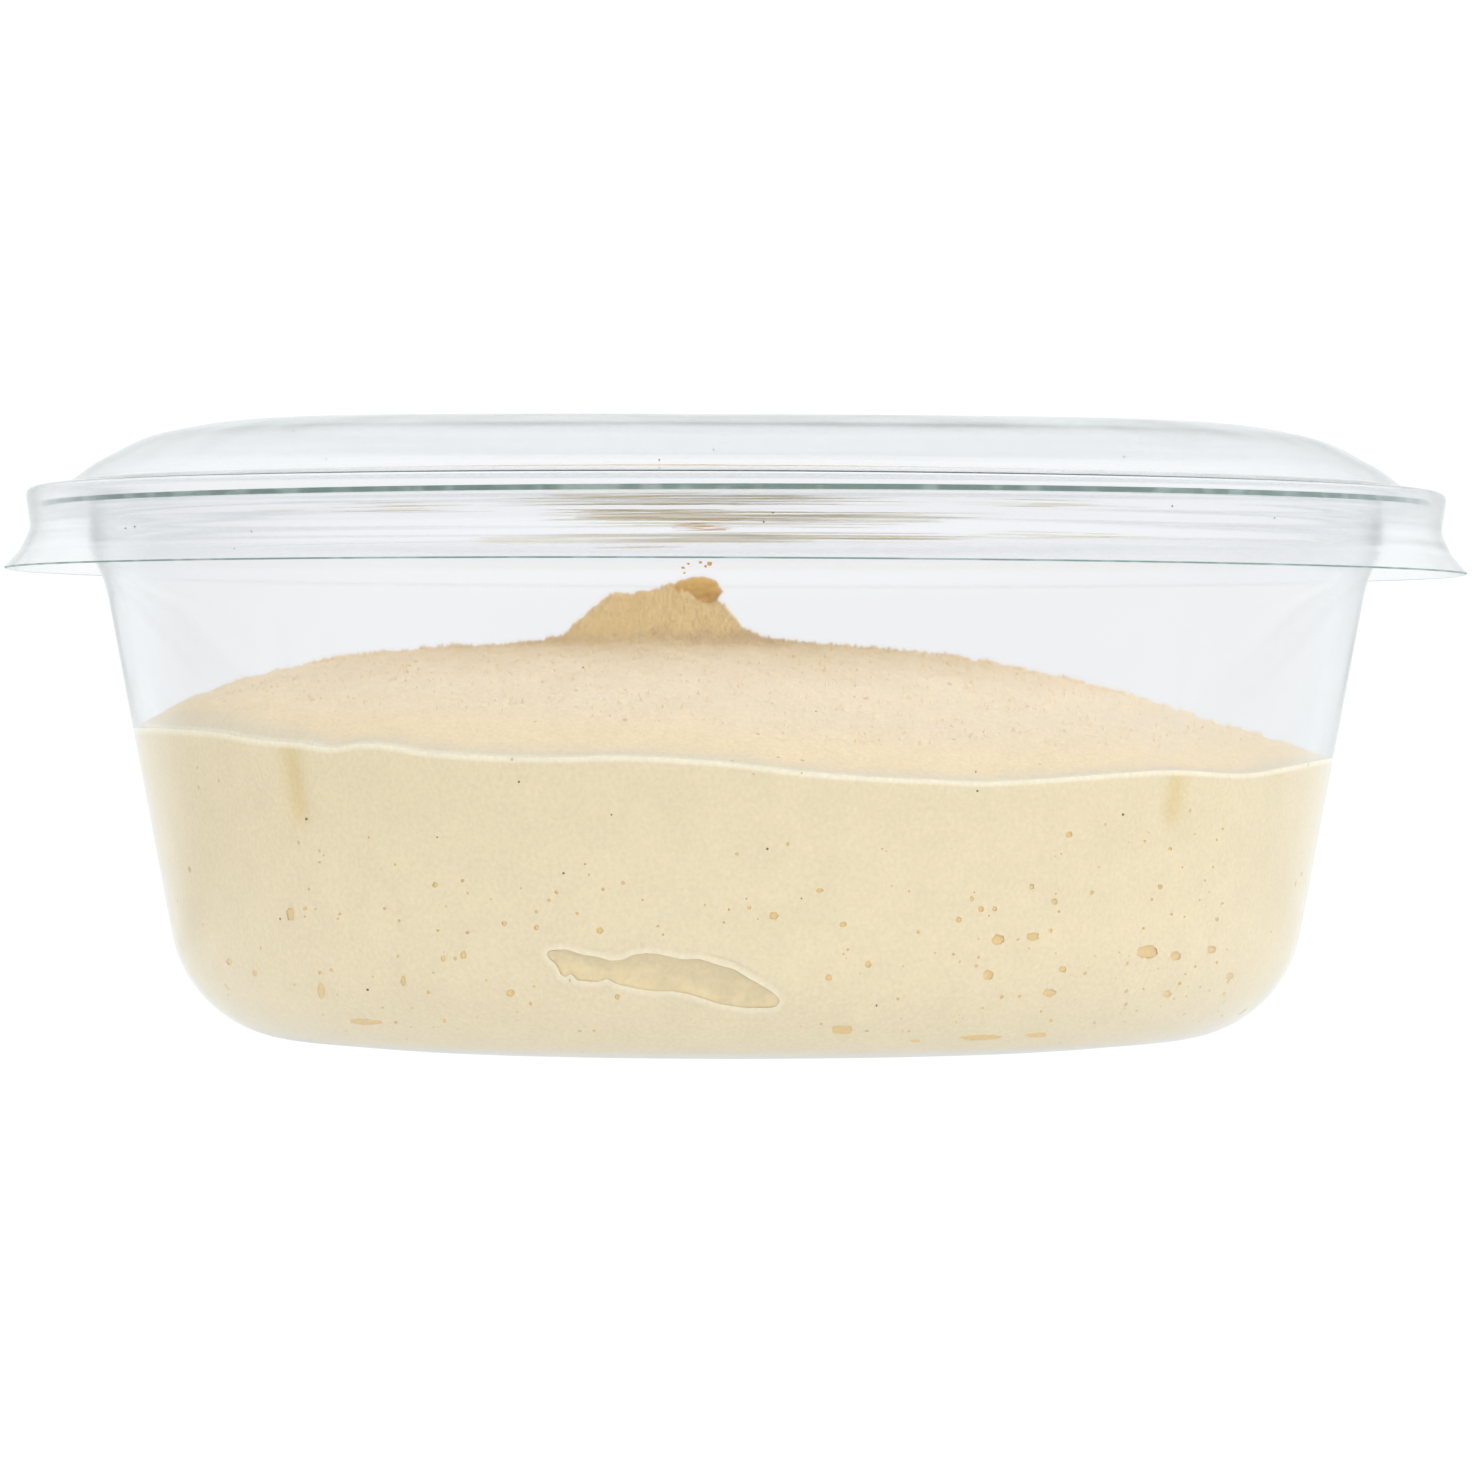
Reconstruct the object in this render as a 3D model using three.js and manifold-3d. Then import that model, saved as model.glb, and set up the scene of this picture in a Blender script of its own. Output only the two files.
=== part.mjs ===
// A clear thermoformed tub of hummus with its clear press-on lid.
// Millimetres, +Z up, origin at the middle of the base, the shown side towards -Y.
import * as THREE from "three";
import { mergeVertices } from "three/addons/utils/BufferGeometryUtils.js";
import Module from "manifold-3d";

const wasm = await Module();
wasm.setup();

const degrees = THREE.MathUtils.degToRad;

// Sheet and clearances
const SHEET = 0.6;            // thickness of the clear sheet, both parts
const GAP = 0.3;              // clearance between neighbouring solids
const SIDES = 64;             // steps round every revolved piece

// Tub: a tapered wall on a filleted base, a stacking collar and a flange
const CORNER_RADIUS = 44.9;   // where the wall's line would meet the table
const WALL_TAPER = 10.4;      // degrees from upright
const BASE_FILLET = 10.8;
const FILLET_STEPS = 6;
const HEEL_RADIUS = 30.0;     // outside this the base curves up a little to meet the fillet
const HEEL_RISE = 0.55;
const HEEL_REACH = 3.3;       // height on the fillet where that rise has died out
const WALL_TOP = 38.3;        // height where the taper ends
const COLLAR_RADIUS = 53.2;
const COLLAR_FOOT = 40.6;
const COLLAR_TOP = 43.1;
const COLLAR_BEND = { inset: 0.25, rise: 1.65 };  // eases the step from wall to collar
const FLANGE_RADIUS = 56.7;
const FLANGE_UNDERSIDE = 43.4;
const FLANGE_BEND = 0.5;      // how far out of the collar the flange turns level
const FLANGE_LIP = 0.6;       // width of the flange's lip
const FLANGE_DROP = 0.35;     // the lip turns down a little

// De-nest ribs: small upright beads inside the wall, which keep stacked tubs apart
const RIB_ANGLES = [45, 135, 225, 315];
const RIB_FOOT = 17.7;
const RIB_HEAD = 36.0;
const RIB_WIDTH = 1.8;
const RIB_PROUD = 0.45;

// Lid: a shallow dome, a ledge over the flange, a neck that grips under it and a flared skirt
const CROWN = [[0, 51.2], [20, 51.15], [38.4, 50.9], [44, 50.4], [47.6, 49.8]];
const DOME_SIDE = [[50.3, 48.9], [52.9, 47.5], [54.7, 46.1], [55.4, 45.8]];
const LEDGE = [[57.8, 45.35], [58.4, 44.9]];
const NECK = [[58.3, 43.8], [58.0, 42.1], [58.3, 41.1]];
const SKIRT = [[59.0, 40.2], [60.1, 38.8]];
const LID_TILT = 0.25;        // degrees; the lid sits lower at +X, turned about its seat's middle
const SEAT_HEIGHT = 44.2;
const CROWN_SAG = 0.6;        // how much lower the dome is towards front and back
const SAG_HEIGHTS = [45.5, 50];   // the sag comes in between these heights
const SAG_RADII = [8, 44];        // and between these radii

// Hummus: heights of its edge on the wall, by angle from the front towards +X, and its mound
const EDGE_LINE = [
  [-90, 25.8], [-60, 25.8], [-40, 24.7], [-18, 23.8], [2, 23.1], [23, 21.9],
  [45, 22.6], [70, 23.2], [95, 23.6], [135, 24.2], [180, 24.8], [225, 25.4],
];
const MOUND_TOP = 32.7;
const FULLNESS = { left: 4.2, right: 2.3 };   // how long the mound stays level towards the wall
const SLACKNESS = { left: 1.0, right: 1.3 };  // how gently it meets the wall

// The peak where the filling nozzle lifted away, with a small curled knob on it
const PEAK = { x: -5.5, y: 0, rise: 4.6, halfWidth: 6.2, lean: 1.2, tilt: 0.08 };
const PEAK_STEEPNESS = { left: 7, right: 5 };
const KNOB = { x: -3.0, y: -0.8, radius: 1.9, rise: 1.1 };

// Rings of the hummus: steps up its wall, then shares of the way out from the peak
const WALL_STEPS = 4;
const TOP_SHARES = [0.96, 0.9, 0.82, 0.72, 0.6, 0.48, 0.37, 0.28, 0.22, 0.175, 0.14, 0.11, 0.085, 0.06, 0.035, 0];
const POLE_SHIFT_STARTS = 0.1;    // share inside which the rings are centred on the peak

// The long air pocket against the front wall, as lens-shaped lobes that run together
const POCKET_DEPTH = 1.1;
const POCKET_LOBES = [
  { x: -12.7, z: 7.9, length: 4.4, height: 2.4, turn: 12 },
  { x: -8.8, z: 7.2, length: 6.2, height: 2.4, turn: 10 },
  { x: -3.7, z: 7.1, length: 8.8, height: 3.2, turn: 6 },
  { x: 0.3, z: 6.0, length: 6.8, height: 2.6, turn: 18 },
];

const petSheet = new THREE.MeshStandardMaterial({
  color: 0xe4eaec, roughness: 0.06, metalness: 0, transparent: true, opacity: 0.35, side: THREE.DoubleSide,
});
const chickpeaPaste = new THREE.MeshStandardMaterial({ color: 0xe8dab8, roughness: 0.75, metalness: 0 });

// The solid of a closed geometry, with its shared corners merged.
function toSolid(geometry) {
  const bare = geometry.clone();
  bare.deleteAttribute("normal");
  bare.deleteAttribute("uv");
  const welded = mergeVertices(bare, 1e-4);
  return new wasm.Manifold(new wasm.Mesh({
    numProp: 3,
    vertProperties: new Float32Array(welded.attributes.position.array),
    triVerts: new Uint32Array(welded.index.array),
  }));
}

function toGeometry(solid) {
  const { vertProperties, triVerts } = solid.getMesh();
  const geometry = new THREE.BufferGeometry();
  geometry.setAttribute("position", new THREE.BufferAttribute(new Float32Array(vertProperties), 3));
  geometry.setIndex(new THREE.BufferAttribute(new Uint32Array(triVerts), 1));
  geometry.computeVertexNormals();
  return geometry;
}

// A profile of [radius, height] points turned about the upright axis.
// The points run out along the underside and back along the top.
function revolve(profile) {
  const points = profile.map(([radius, height]) => new THREE.Vector2(radius, height));
  return new THREE.LatheGeometry(points, SIDES).rotateX(Math.PI / 2);
}

// A line of [radius, height] points moved sideways by a distance, to its left as it runs.
function offsetLine(line, distance) {
  return line.map((point, i) => {
    const before = line[Math.max(i - 1, 0)];
    const after = line[Math.min(i + 1, line.length - 1)];
    const along = new THREE.Vector2(after[0] - before[0], after[1] - before[1]).normalize();
    return [Math.max(point[0] - along.y * distance, 0), point[1] + along.x * distance];
  });
}

// Outer line of the tub from the base's middle to the top of its wall.
// The fillet is an arc that touches both the base and the tapered wall, and the heel lifts its foot.
function tubOuterWall() {
  const taper = degrees(WALL_TAPER);
  const turn = Math.PI / 2 - taper;
  const tangent = BASE_FILLET * Math.tan(turn / 2);
  const flatRadius = CORNER_RADIUS - tangent;
  const line = [[0, 0], [HEEL_RADIUS, 0]];
  for (let i = 0; i <= FILLET_STEPS; i += 1) {
    const angle = turn * (i / FILLET_STEPS);
    const height = BASE_FILLET * (1 - Math.cos(angle));
    const lift = HEEL_RISE * Math.max(1 - height / HEEL_REACH, 0);
    line.push([flatRadius + BASE_FILLET * Math.sin(angle), height + lift]);
  }
  line.push([CORNER_RADIUS + WALL_TOP * Math.tan(taper), WALL_TOP]);
  return line;
}

// Radius of the tub's outer wall at a height above the fillet.
function wallRadius(height) {
  return CORNER_RADIUS + height * Math.tan(degrees(WALL_TAPER));
}

function ribBead(angle, width, proud) {
  const length = RIB_HEAD - RIB_FOOT;
  const bead = new THREE.CapsuleGeometry(width / 2, length - width, 3, 8).rotateX(Math.PI / 2);
  bead.scale(proud / (width / 2), 1, 1);
  bead.rotateY(degrees(WALL_TAPER));
  bead.translate(wallRadius((RIB_FOOT + RIB_HEAD) / 2) - SHEET, 0, (RIB_FOOT + RIB_HEAD) / 2);
  bead.rotateZ(degrees(angle));
  return toSolid(bead);
}

function makeTub() {
  const outer = [
    ...tubOuterWall(),
    [COLLAR_RADIUS - COLLAR_BEND.inset, WALL_TOP + COLLAR_BEND.rise],
    [COLLAR_RADIUS, COLLAR_FOOT],
    [COLLAR_RADIUS, COLLAR_TOP],
    [COLLAR_RADIUS + FLANGE_BEND, FLANGE_UNDERSIDE],
    [FLANGE_RADIUS - FLANGE_LIP, FLANGE_UNDERSIDE],
    [FLANGE_RADIUS, FLANGE_UNDERSIDE - FLANGE_DROP],
  ];
  const inner = offsetLine(outer, SHEET).reverse();
  const wall = toSolid(revolve([...outer, ...inner]));
  const filled = toSolid(revolve([...tubOuterWall(), [0, WALL_TOP]]));
  let tub = wall;
  for (const angle of RIB_ANGLES) {
    tub = tub.add(ribBead(angle, RIB_WIDTH, RIB_PROUD).intersect(filled));
  }
  return toGeometry(tub);
}

function makeLid() {
  const top = [...CROWN, ...DOME_SIDE, ...LEDGE, ...NECK, ...SKIRT];
  const underside = offsetLine(top, -SHEET);
  const lid = revolve([...underside, ...top.reverse()]);
  const place = lid.attributes.position;
  for (let i = 0; i < place.count; i += 1) {
    const [x, y, z] = [place.getX(i), place.getY(i), place.getZ(i)];
    const radius = Math.hypot(x, y);
    const frontness = radius > 1 ? (y / radius) ** 2 : 0;
    const domeShare = THREE.MathUtils.smoothstep(z, ...SAG_HEIGHTS);
    const outness = THREE.MathUtils.smoothstep(radius, ...SAG_RADII);
    place.setZ(i, z - CROWN_SAG * frontness * domeShare * outness);
  }
  return lid;
}

// A smooth closed curve through the heights of EDGE_LINE (Catmull-Rom between its points).
function edgeHeight(angle) {
  const count = EDGE_LINE.length;
  const start = EDGE_LINE[0][0];
  const turned = start + THREE.MathUtils.euclideanModulo(angle - start, 360);
  let i = count - 1;
  while (EDGE_LINE[i][0] > turned) i -= 1;
  const from = EDGE_LINE[i][0];
  const to = i + 1 < count ? EDGE_LINE[i + 1][0] : start + 360;
  const t = (turned - from) / (to - from);
  const [a, b, c, d] = [-1, 0, 1, 2].map((k) => EDGE_LINE[(i + k + count) % count][1]);
  return b + 0.5 * t * (c - a + t * (2 * a - 5 * b + 4 * c - d + t * (3 * (b - c) + d - a)));
}

// Height of the hummus at a place: the mound falls from its level top to the edge on the wall.
function moundHeight(x, y, wall) {
  const radius = Math.hypot(x, y);
  const side = radius > 0 ? x / radius : 0;
  const edge = edgeHeight(THREE.MathUtils.radToDeg(Math.atan2(x, -y)));
  const rightShare = (side + 1) / 2;
  const fullness = THREE.MathUtils.lerp(FULLNESS.left, FULLNESS.right, rightShare);
  const slackness = THREE.MathUtils.lerp(SLACKNESS.left, SLACKNESS.right, rightShare);
  return edge + (MOUND_TOP - edge) * (1 - Math.min(radius / wall, 1) ** fullness) ** slackness;
}

// Extra height of the peak and its knob at a place.
function peakHeight(x, y) {
  const dx = x - PEAK.x;
  const dy = y - PEAK.y;
  const away = Math.hypot(dx, dy);
  const side = away > 0 ? dx / away : 0;
  const halfWidth = PEAK.halfWidth - PEAK.lean * side;
  const steepness = THREE.MathUtils.lerp(PEAK_STEEPNESS.left, PEAK_STEEPNESS.right, (side + 1) / 2);
  const bell = 1 / (1 + (away / halfWidth) ** steepness);
  const knobAway = Math.hypot(x - KNOB.x, y - KNOB.y) / KNOB.radius;
  const knob = KNOB.rise * Math.sqrt(Math.max(1 - knobAway ** 2, 0));
  return bell * (PEAK.rise + PEAK.tilt * dx) + knob;
}

function makeHummus() {
  // Rings on the base and wall keep the tub's inner line, and rings on top close in on the peak.
  const inner = offsetLine(tubOuterWall(), SHEET + GAP);
  const body = inner.slice(0, -1);
  const rings = body.length + WALL_STEPS + TOP_SHARES.length;
  const marks = Array.from({ length: rings }, (_, i) => [i === 0 || i === rings - 1 ? 0 : 10, i]);
  const hummus = revolve(marks);
  const place = hummus.attributes.position;
  const taper = Math.tan(degrees(WALL_TAPER));
  const [filletRadius, filletTop] = body[body.length - 1];
  const insideAt = (height) => filletRadius + (height - filletTop) * taper;
  for (let i = 0; i < place.count; i += 1) {
    const ring = Math.round(place.getZ(i));
    const angle = Math.atan2(place.getX(i), -place.getY(i));
    const [aside, ahead] = [Math.sin(angle), -Math.cos(angle)];
    const edge = edgeHeight(THREE.MathUtils.radToDeg(angle));
    const wall = insideAt(edge);
    if (ring < body.length) {
      const [radius, height] = body[ring];
      place.setXYZ(i, radius * aside, radius * ahead, height);
    } else if (ring < body.length + WALL_STEPS) {
      const share = (ring - body.length + 1) / WALL_STEPS;
      const height = THREE.MathUtils.lerp(filletTop, edge, share);
      place.setXYZ(i, insideAt(height) * aside, insideAt(height) * ahead, height);
    } else {
      const share = TOP_SHARES[ring - body.length - WALL_STEPS];
      const shift = 1 - THREE.MathUtils.smoothstep(share, POLE_SHIFT_STARTS, 1);
      const x = wall * share * aside + PEAK.x * shift;
      const y = wall * share * ahead + PEAK.y * shift;
      place.setXYZ(i, x, y, moundHeight(x, y, wall) + peakHeight(x, y));
    }
  }
  let solid = toSolid(hummus);
  for (const angle of RIB_ANGLES) {
    solid = solid.subtract(ribBead(angle, RIB_WIDTH + 2 * GAP, RIB_PROUD + GAP));
  }
  for (const lobe of POCKET_LOBES) {
    const lens = new THREE.SphereGeometry(1, 16, 10).scale(lobe.length / 2, POCKET_DEPTH, lobe.height / 2);
    const wall = CORNER_RADIUS - SHEET - GAP + lobe.z * taper;
    lens.rotateY(degrees(lobe.turn)).translate(lobe.x, -Math.sqrt(wall ** 2 - lobe.x ** 2), lobe.z);
    solid = solid.subtract(toSolid(lens));
  }
  return toGeometry(solid);
}

const tub = new THREE.Mesh(makeTub(), petSheet);
tub.name = "tub";

const lid = new THREE.Mesh(makeLid(), petSheet);
lid.name = "lid";
lid.position.z = -SEAT_HEIGHT;
const seatedLid = new THREE.Group();
seatedLid.add(lid);
seatedLid.position.z = SEAT_HEIGHT;
seatedLid.rotation.y = degrees(LID_TILT);

const hummus = new THREE.Mesh(makeHummus(), chickpeaPaste);
hummus.name = "hummus";

const group = new THREE.Group();
group.add(tub, seatedLid, hummus);

export default group;
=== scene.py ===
# %% [markdown]
# # A shut tub of hummus
# The object is a clear thermoformed tub, its clear press-on lid, and the chickpea paste inside.
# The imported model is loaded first, as a fixed frame that nothing here moves. Every size below is
# in millimetres, as a maker would give it, and one function turns it to metres at the very end.

# %% The fixed frame
import math
from functools import partial

import bpy
import numpy as np
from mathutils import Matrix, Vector


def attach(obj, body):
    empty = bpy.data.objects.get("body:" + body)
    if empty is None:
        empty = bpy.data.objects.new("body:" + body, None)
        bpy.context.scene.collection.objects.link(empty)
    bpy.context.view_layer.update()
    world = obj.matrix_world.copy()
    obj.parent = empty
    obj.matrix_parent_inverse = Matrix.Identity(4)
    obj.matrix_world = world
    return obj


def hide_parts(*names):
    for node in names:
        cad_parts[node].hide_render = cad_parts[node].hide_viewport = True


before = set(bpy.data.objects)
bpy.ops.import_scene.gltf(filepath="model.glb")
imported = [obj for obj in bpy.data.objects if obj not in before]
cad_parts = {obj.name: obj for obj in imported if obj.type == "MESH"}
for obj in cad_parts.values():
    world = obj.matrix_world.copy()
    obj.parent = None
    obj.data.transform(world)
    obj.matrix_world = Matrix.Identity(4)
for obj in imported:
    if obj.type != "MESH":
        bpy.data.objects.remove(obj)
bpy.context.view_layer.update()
MM = 0.001

# %% [markdown]
# ## Camera and view
# The picture is taken from the tub's own height with a long lens, so upright things stay upright
# and the rim shows almost edge-on. A level camera could be had with a lens shift, but a tilt of a
# sixth of a degree puts the horizon in the same place and keeps the other views simple.

# %% Camera
PHOTO_SIDE = 1474  # pixels, both ways
PIXEL = 0.0825  # millimetres a pixel covers at the tub's axis
CAMERA_DISTANCE = 635.0
CAMERA_HEIGHT = 27.0
AIM_HEIGHT = 25.2
CAMERA_ASIDE = 0.08
SENSOR = 36.0

camera_data = bpy.data.cameras.new("camera")
camera_data.sensor_width = SENSOR
camera_data.lens = SENSOR * CAMERA_DISTANCE / (PHOTO_SIDE * PIXEL)
camera_data.clip_start = 0.01
camera_data.clip_end = 20.0
camera = bpy.data.objects.new("camera", camera_data)
bpy.context.scene.collection.objects.link(camera)
camera.location = Vector((CAMERA_ASIDE, -CAMERA_DISTANCE, CAMERA_HEIGHT)) * MM
aim = Vector((CAMERA_ASIDE, 0.0, AIM_HEIGHT)) * MM
camera.rotation_euler = (aim - camera.location).to_track_quat("-Z", "Y").to_euler()
bpy.context.scene.camera = camera
bpy.context.scene.view_settings.view_transform = "Standard"
print("lens mm", round(camera_data.lens, 1))

# %% [markdown]
# ## Helpers
# A revolved sheet or a filled bowl is a grid of points: one way runs along a profile, the other
# round the axis. Whole arrays are worked out at once with numpy and handed to the mesh in one go.
# Materials are node trees, and one small helper adds a node with its settings and its links.


# %% Mesh from a grid of points
def closed_grid_faces(rows, columns):
    """Quads between neighbouring rows of a grid whose columns close on themselves."""
    row, column = np.meshgrid(np.arange(rows - 1) * columns, np.arange(columns), indexing="ij")
    after = (column + 1) % columns
    corners = (row + column, row + after, row + columns + after, row + columns + column)
    return np.stack([c.ravel() for c in corners], 1)


def end_fans(rows, columns):
    """Triangles that close both ends of such a grid, with two poles that follow its points."""
    ring = np.arange(columns)
    after = (ring + 1) % columns
    last = (rows - 1) * columns
    low_fan = np.stack([np.full(columns, rows * columns), after, ring], 1)
    high_fan = np.stack([np.full(columns, rows * columns + 1), last + ring, last + after], 1)
    return np.concatenate([low_fan, high_fan])


def mesh_object(name, points, quads, triangles=()):
    """A smooth-shaded object from points in millimetres, quads and triangles."""
    mesh = bpy.data.meshes.new(name)
    points = np.reshape(points, (-1, 3)) * MM
    quads = np.reshape(quads, (-1, 4)).astype(int)
    triangles = np.reshape(triangles, (-1, 3)).astype(int)
    mesh.from_pydata(points.tolist(), [], quads.tolist() + triangles.tolist())
    mesh.validate()
    mesh.shade_smooth()
    made = bpy.data.objects.new(name, mesh)
    bpy.context.scene.collection.objects.link(made)
    return made


def turned_solid(name, grid):
    """Closes a grid (rows, columns, 3) at both ends with one pole each and makes the object.

    The first row is round the lower pole and the last row round the upper one."""
    points = np.concatenate([grid.reshape(-1, 3), [grid[0].mean(0), grid[-1].mean(0)]])
    counts = grid.shape[:2]
    return mesh_object(name, points, closed_grid_faces(*counts), end_fans(*counts))


def set_attribute(obj, name, values):
    """Stores one number a vertex on the mesh, for a material to read."""
    stored = obj.data.attributes.new(name, "FLOAT", "POINT")
    stored.data.foreach_set("value", np.asarray(values, np.float32))


# %% Smooth noise
def lattice_noise(points, size, seed):
    """Smooth noise between -1 and 1: random values on a cubic lattice of the given size in
    millimetres, blended between the eight corners round each point with an eased weight. The
    long numbers only scatter the bits of a corner's place, so that each gives its own value."""
    cells = np.floor(points / size).astype(np.int64)
    inside = points / size - cells
    eased = inside * inside * (3 - 2 * inside)
    total = 0
    for corner in np.ndindex(2, 2, 2):
        key = np.bitwise_xor.reduce((cells + corner) * np.array([73856093, 19349663, 83492791]), axis=-1)
        key = (key + seed * 1274126177) & 0xFFFFFFFF
        key = ((key ^ (key >> 15)) * 2246822519) & 0xFFFFFFFF
        key = ((key ^ (key >> 13)) * 3266489917) & 0xFFFFFFFF
        weight = np.prod(np.where(corner, eased, 1 - eased), axis=-1)
        total = total + weight * ((key >> 16) / 32767.5 - 1)
    return total


def smoothstep(value, low, high):
    """0 below low, 1 above high, with an eased rise between."""
    share = np.clip((value - low) / (high - low), 0, 1)
    return share * share * (3 - 2 * share)


# %% Material helpers
COLOUR = {"data_type": "RGBA"}
EASED = {"interpolation_type": "SMOOTHSTEP"}


def linear(hex_colour):
    """An sRGB hex colour as linear red, green, blue and alpha."""
    channels = [int(hex_colour[i:i + 2], 16) / 255 for i in (1, 3, 5)]
    return [c / 12.92 if c <= 0.04045 else ((c + 0.055) / 1.055) ** 2.4 for c in channels] + [1.0]


def add_node(tree, kind, settings=None, **inputs):
    """Adds a shader node. settings are its properties; inputs are values, sockets or nodes, by
    name, or by number after an underscore. A node stands for its first output in use."""
    made = tree.nodes.new("ShaderNode" + kind)
    for key, value in (settings or {}).items():
        setattr(made, key, value)
    for key, value in inputs.items():
        socket = made.inputs[int(key[1:])] if key[1:].isdigit() else made.inputs[key.replace("_", " ")]
        if isinstance(value, bpy.types.Node):
            value = next(out for out in value.outputs if out.enabled)
        if isinstance(value, bpy.types.NodeSocket):
            tree.links.new(value, socket)
        else:
            socket.default_value = value
    return made


def stepped(add, value, *steps):
    """Starts from a number and goes to the next one of each step in turn, eased, while the step's
    socket goes from its start to its end: steps of (socket, start, end, next number)."""
    for socket, start, end, after in steps:
        share = add("MapRange", EASED, Value=socket, From_Min=start, From_Max=end)
        value = add("Mix", _0=share, _2=value, _3=after)
    return value


def new_material(name):
    """An empty material, and add_node for its tree."""
    material = bpy.data.materials.new(name)
    material.use_nodes = True
    material.node_tree.nodes.clear()
    return material, partial(add_node, material.node_tree)


# %% [markdown]
# ## Profiles of the sheet
# Thermoformed sheet has no sharp corner: it is drawn over a mould, so each bend is an arc. A line
# of corners, each with its own radius, gives that directly. The other face of the sheet is the
# same line moved sideways by the sheet's thickness.


# %% Rounded profile lines
ARC_STEP = 0.08  # radians; a coarser bend shows as lines through clear sheet
LINE_STEP = 1.2  # millimetres between points at most
FINE_STEP = 0.25  # and where the ridges lie
RIPPLE_BAND = (39.9, 44.3)  # heights between which the draw leaves fine level ridges
RIPPLE = 0.008
RIPPLE_PITCH = 0.55
AXIS_GAP = 0.02  # least distance from the axis


def rounded_line(corners):
    """A line through [radius, height, bend radius] corners, each replaced by a tangent arc.

    At a corner the directions in and out differ by a turn. The arc starts bend * tan(turn / 2)
    before the corner and its centre lies one bend radius to the inner side."""
    corners = np.asarray(corners, float)
    line = [corners[0, :2]]
    for before, corner, after in zip(corners[:-2], corners[1:-1], corners[2:]):
        way_in = corner[:2] - before[:2]
        way_out = after[:2] - corner[:2]
        way_in /= np.linalg.norm(way_in)
        way_out /= np.linalg.norm(way_out)
        turn = math.atan2(way_in[0] * way_out[1] - way_in[1] * way_out[0], way_in @ way_out)
        bend = corner[2]
        start = corner[:2] - way_in * bend * math.tan(abs(turn) / 2)
        side = np.array([-way_in[1], way_in[0]]) * math.copysign(1, turn)
        angles = np.linspace(0, abs(turn), int(abs(turn) / ARC_STEP) + 3)
        arc = start + bend * (np.outer(np.sin(angles), way_in) + np.outer(1 - np.cos(angles), side))
        line.extend(arc)
    line.append(corners[-1, :2])
    line = np.array(line)
    lengths = np.linalg.norm(np.diff(line, axis=0), axis=1)
    pieces = [line[:1]]
    for start, end, length in zip(line[:-1], line[1:], lengths):
        fine = RIPPLE_BAND[0] < (start[1] + end[1]) / 2 < RIPPLE_BAND[1]
        count = max(1, math.ceil(length / (FINE_STEP if fine else LINE_STEP)))
        pieces.append(start + np.outer(np.linspace(0, 1, count + 1)[1:], end - start))
    return np.concatenate(pieces)


def run_lengths(line):
    """Length along the line up to each of its points."""
    return np.concatenate([[0], np.cumsum(np.linalg.norm(np.diff(line, axis=0), axis=1))])


def beside(line, distance):
    """The line moved to its left, as it runs, by one distance or by one for each point."""
    along = np.gradient(line, run_lengths(line), axis=0)
    along /= np.linalg.norm(along, axis=1, keepdims=True)
    moved = line + np.reshape(distance, (-1, 1)) * np.stack([-along[:, 1], along[:, 0]], 1)
    moved[:, 0] = np.maximum(moved[:, 0], AXIS_GAP)
    return moved


def radius_on(line):
    """A function that gives a line's radius at a height. The line's heights rise."""
    return lambda height: np.interp(height, line[:, 1], line[:, 0])


def with_radius(grid, radius):
    """The grid with each point moved level, to a new distance from the axis."""
    scale = radius / np.hypot(grid[..., 0], grid[..., 1])
    return np.concatenate([grid[..., :2] * scale[..., None], grid[..., 2:]], 2)


def rippled(grid, seed):
    """The grid with fine level ridges pressed into its steep part within the band: noise that is
    stretched a hundred times further round than up, added to the radius."""
    height = grid[..., 2]
    stretched = grid * np.array([0.01, 0.01, 1.0])
    ridges = lattice_noise(stretched, RIPPLE_PITCH, seed)
    ridges = ridges + 0.5 * lattice_noise(stretched, RIPPLE_PITCH / 2, seed + 1)
    low, high = RIPPLE_BAND
    window = smoothstep(height, low, low + 0.6) * (1 - smoothstep(height, high - 0.6, high))
    return with_radius(grid, np.hypot(grid[..., 0], grid[..., 1]) + RIPPLE * ridges * window)


def revolve(line, columns):
    """Grid of points: the [radius, height] line turned about the upright axis."""
    angle = np.linspace(0, 2 * np.pi, columns, endpoint=False)
    radius = np.maximum(line[:, :1], AXIS_GAP)
    height = np.broadcast_to(line[:, 1:], (len(line), columns))
    return np.stack([radius * np.cos(angle), radius * np.sin(angle), height], 2)


# %% [markdown]
# ## Clear PET sheet
# Tub and lid are drawn from clear PET, glossy on both faces. PET bends light more than glass, with
# an IOR of about 1.575, so a wall seen square-on loses a tenth of the light and one seen at a
# glancing angle turns to a mirror of the white room. That is why the outline fades to white. The
# sheared edges are the exception: there the light runs along inside the sheet and comes out
# grey-green, so each cut edge has a darker material of its own.

# %% PET materials
PET_IOR = 1.575
SHEET = 0.42  # thickness of the tub's sheet at the flange
DRAWN_SHEET = 0.2  # and where the wall and base are drawn thin
LID_SHEET = 0.2


def pet_material(name, roughness):
    """Clear glossy PET, made faintly wavy by the draw."""
    material, add = new_material(name)
    place = add("TexCoord").outputs["Object"]
    waves = add("TexNoise", Vector=place, Scale=90.0, Detail=1.0)
    bump = add("Bump", Strength=0.6, Distance=0.04 * MM, Height=waves)
    shader = add("BsdfPrincipled", Base_Color=linear("#fefeff"), Roughness=roughness, IOR=PET_IOR,
                 Transmission_Weight=1.0, Normal=bump)
    add("OutputMaterial", Surface=shader)
    return material


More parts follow.
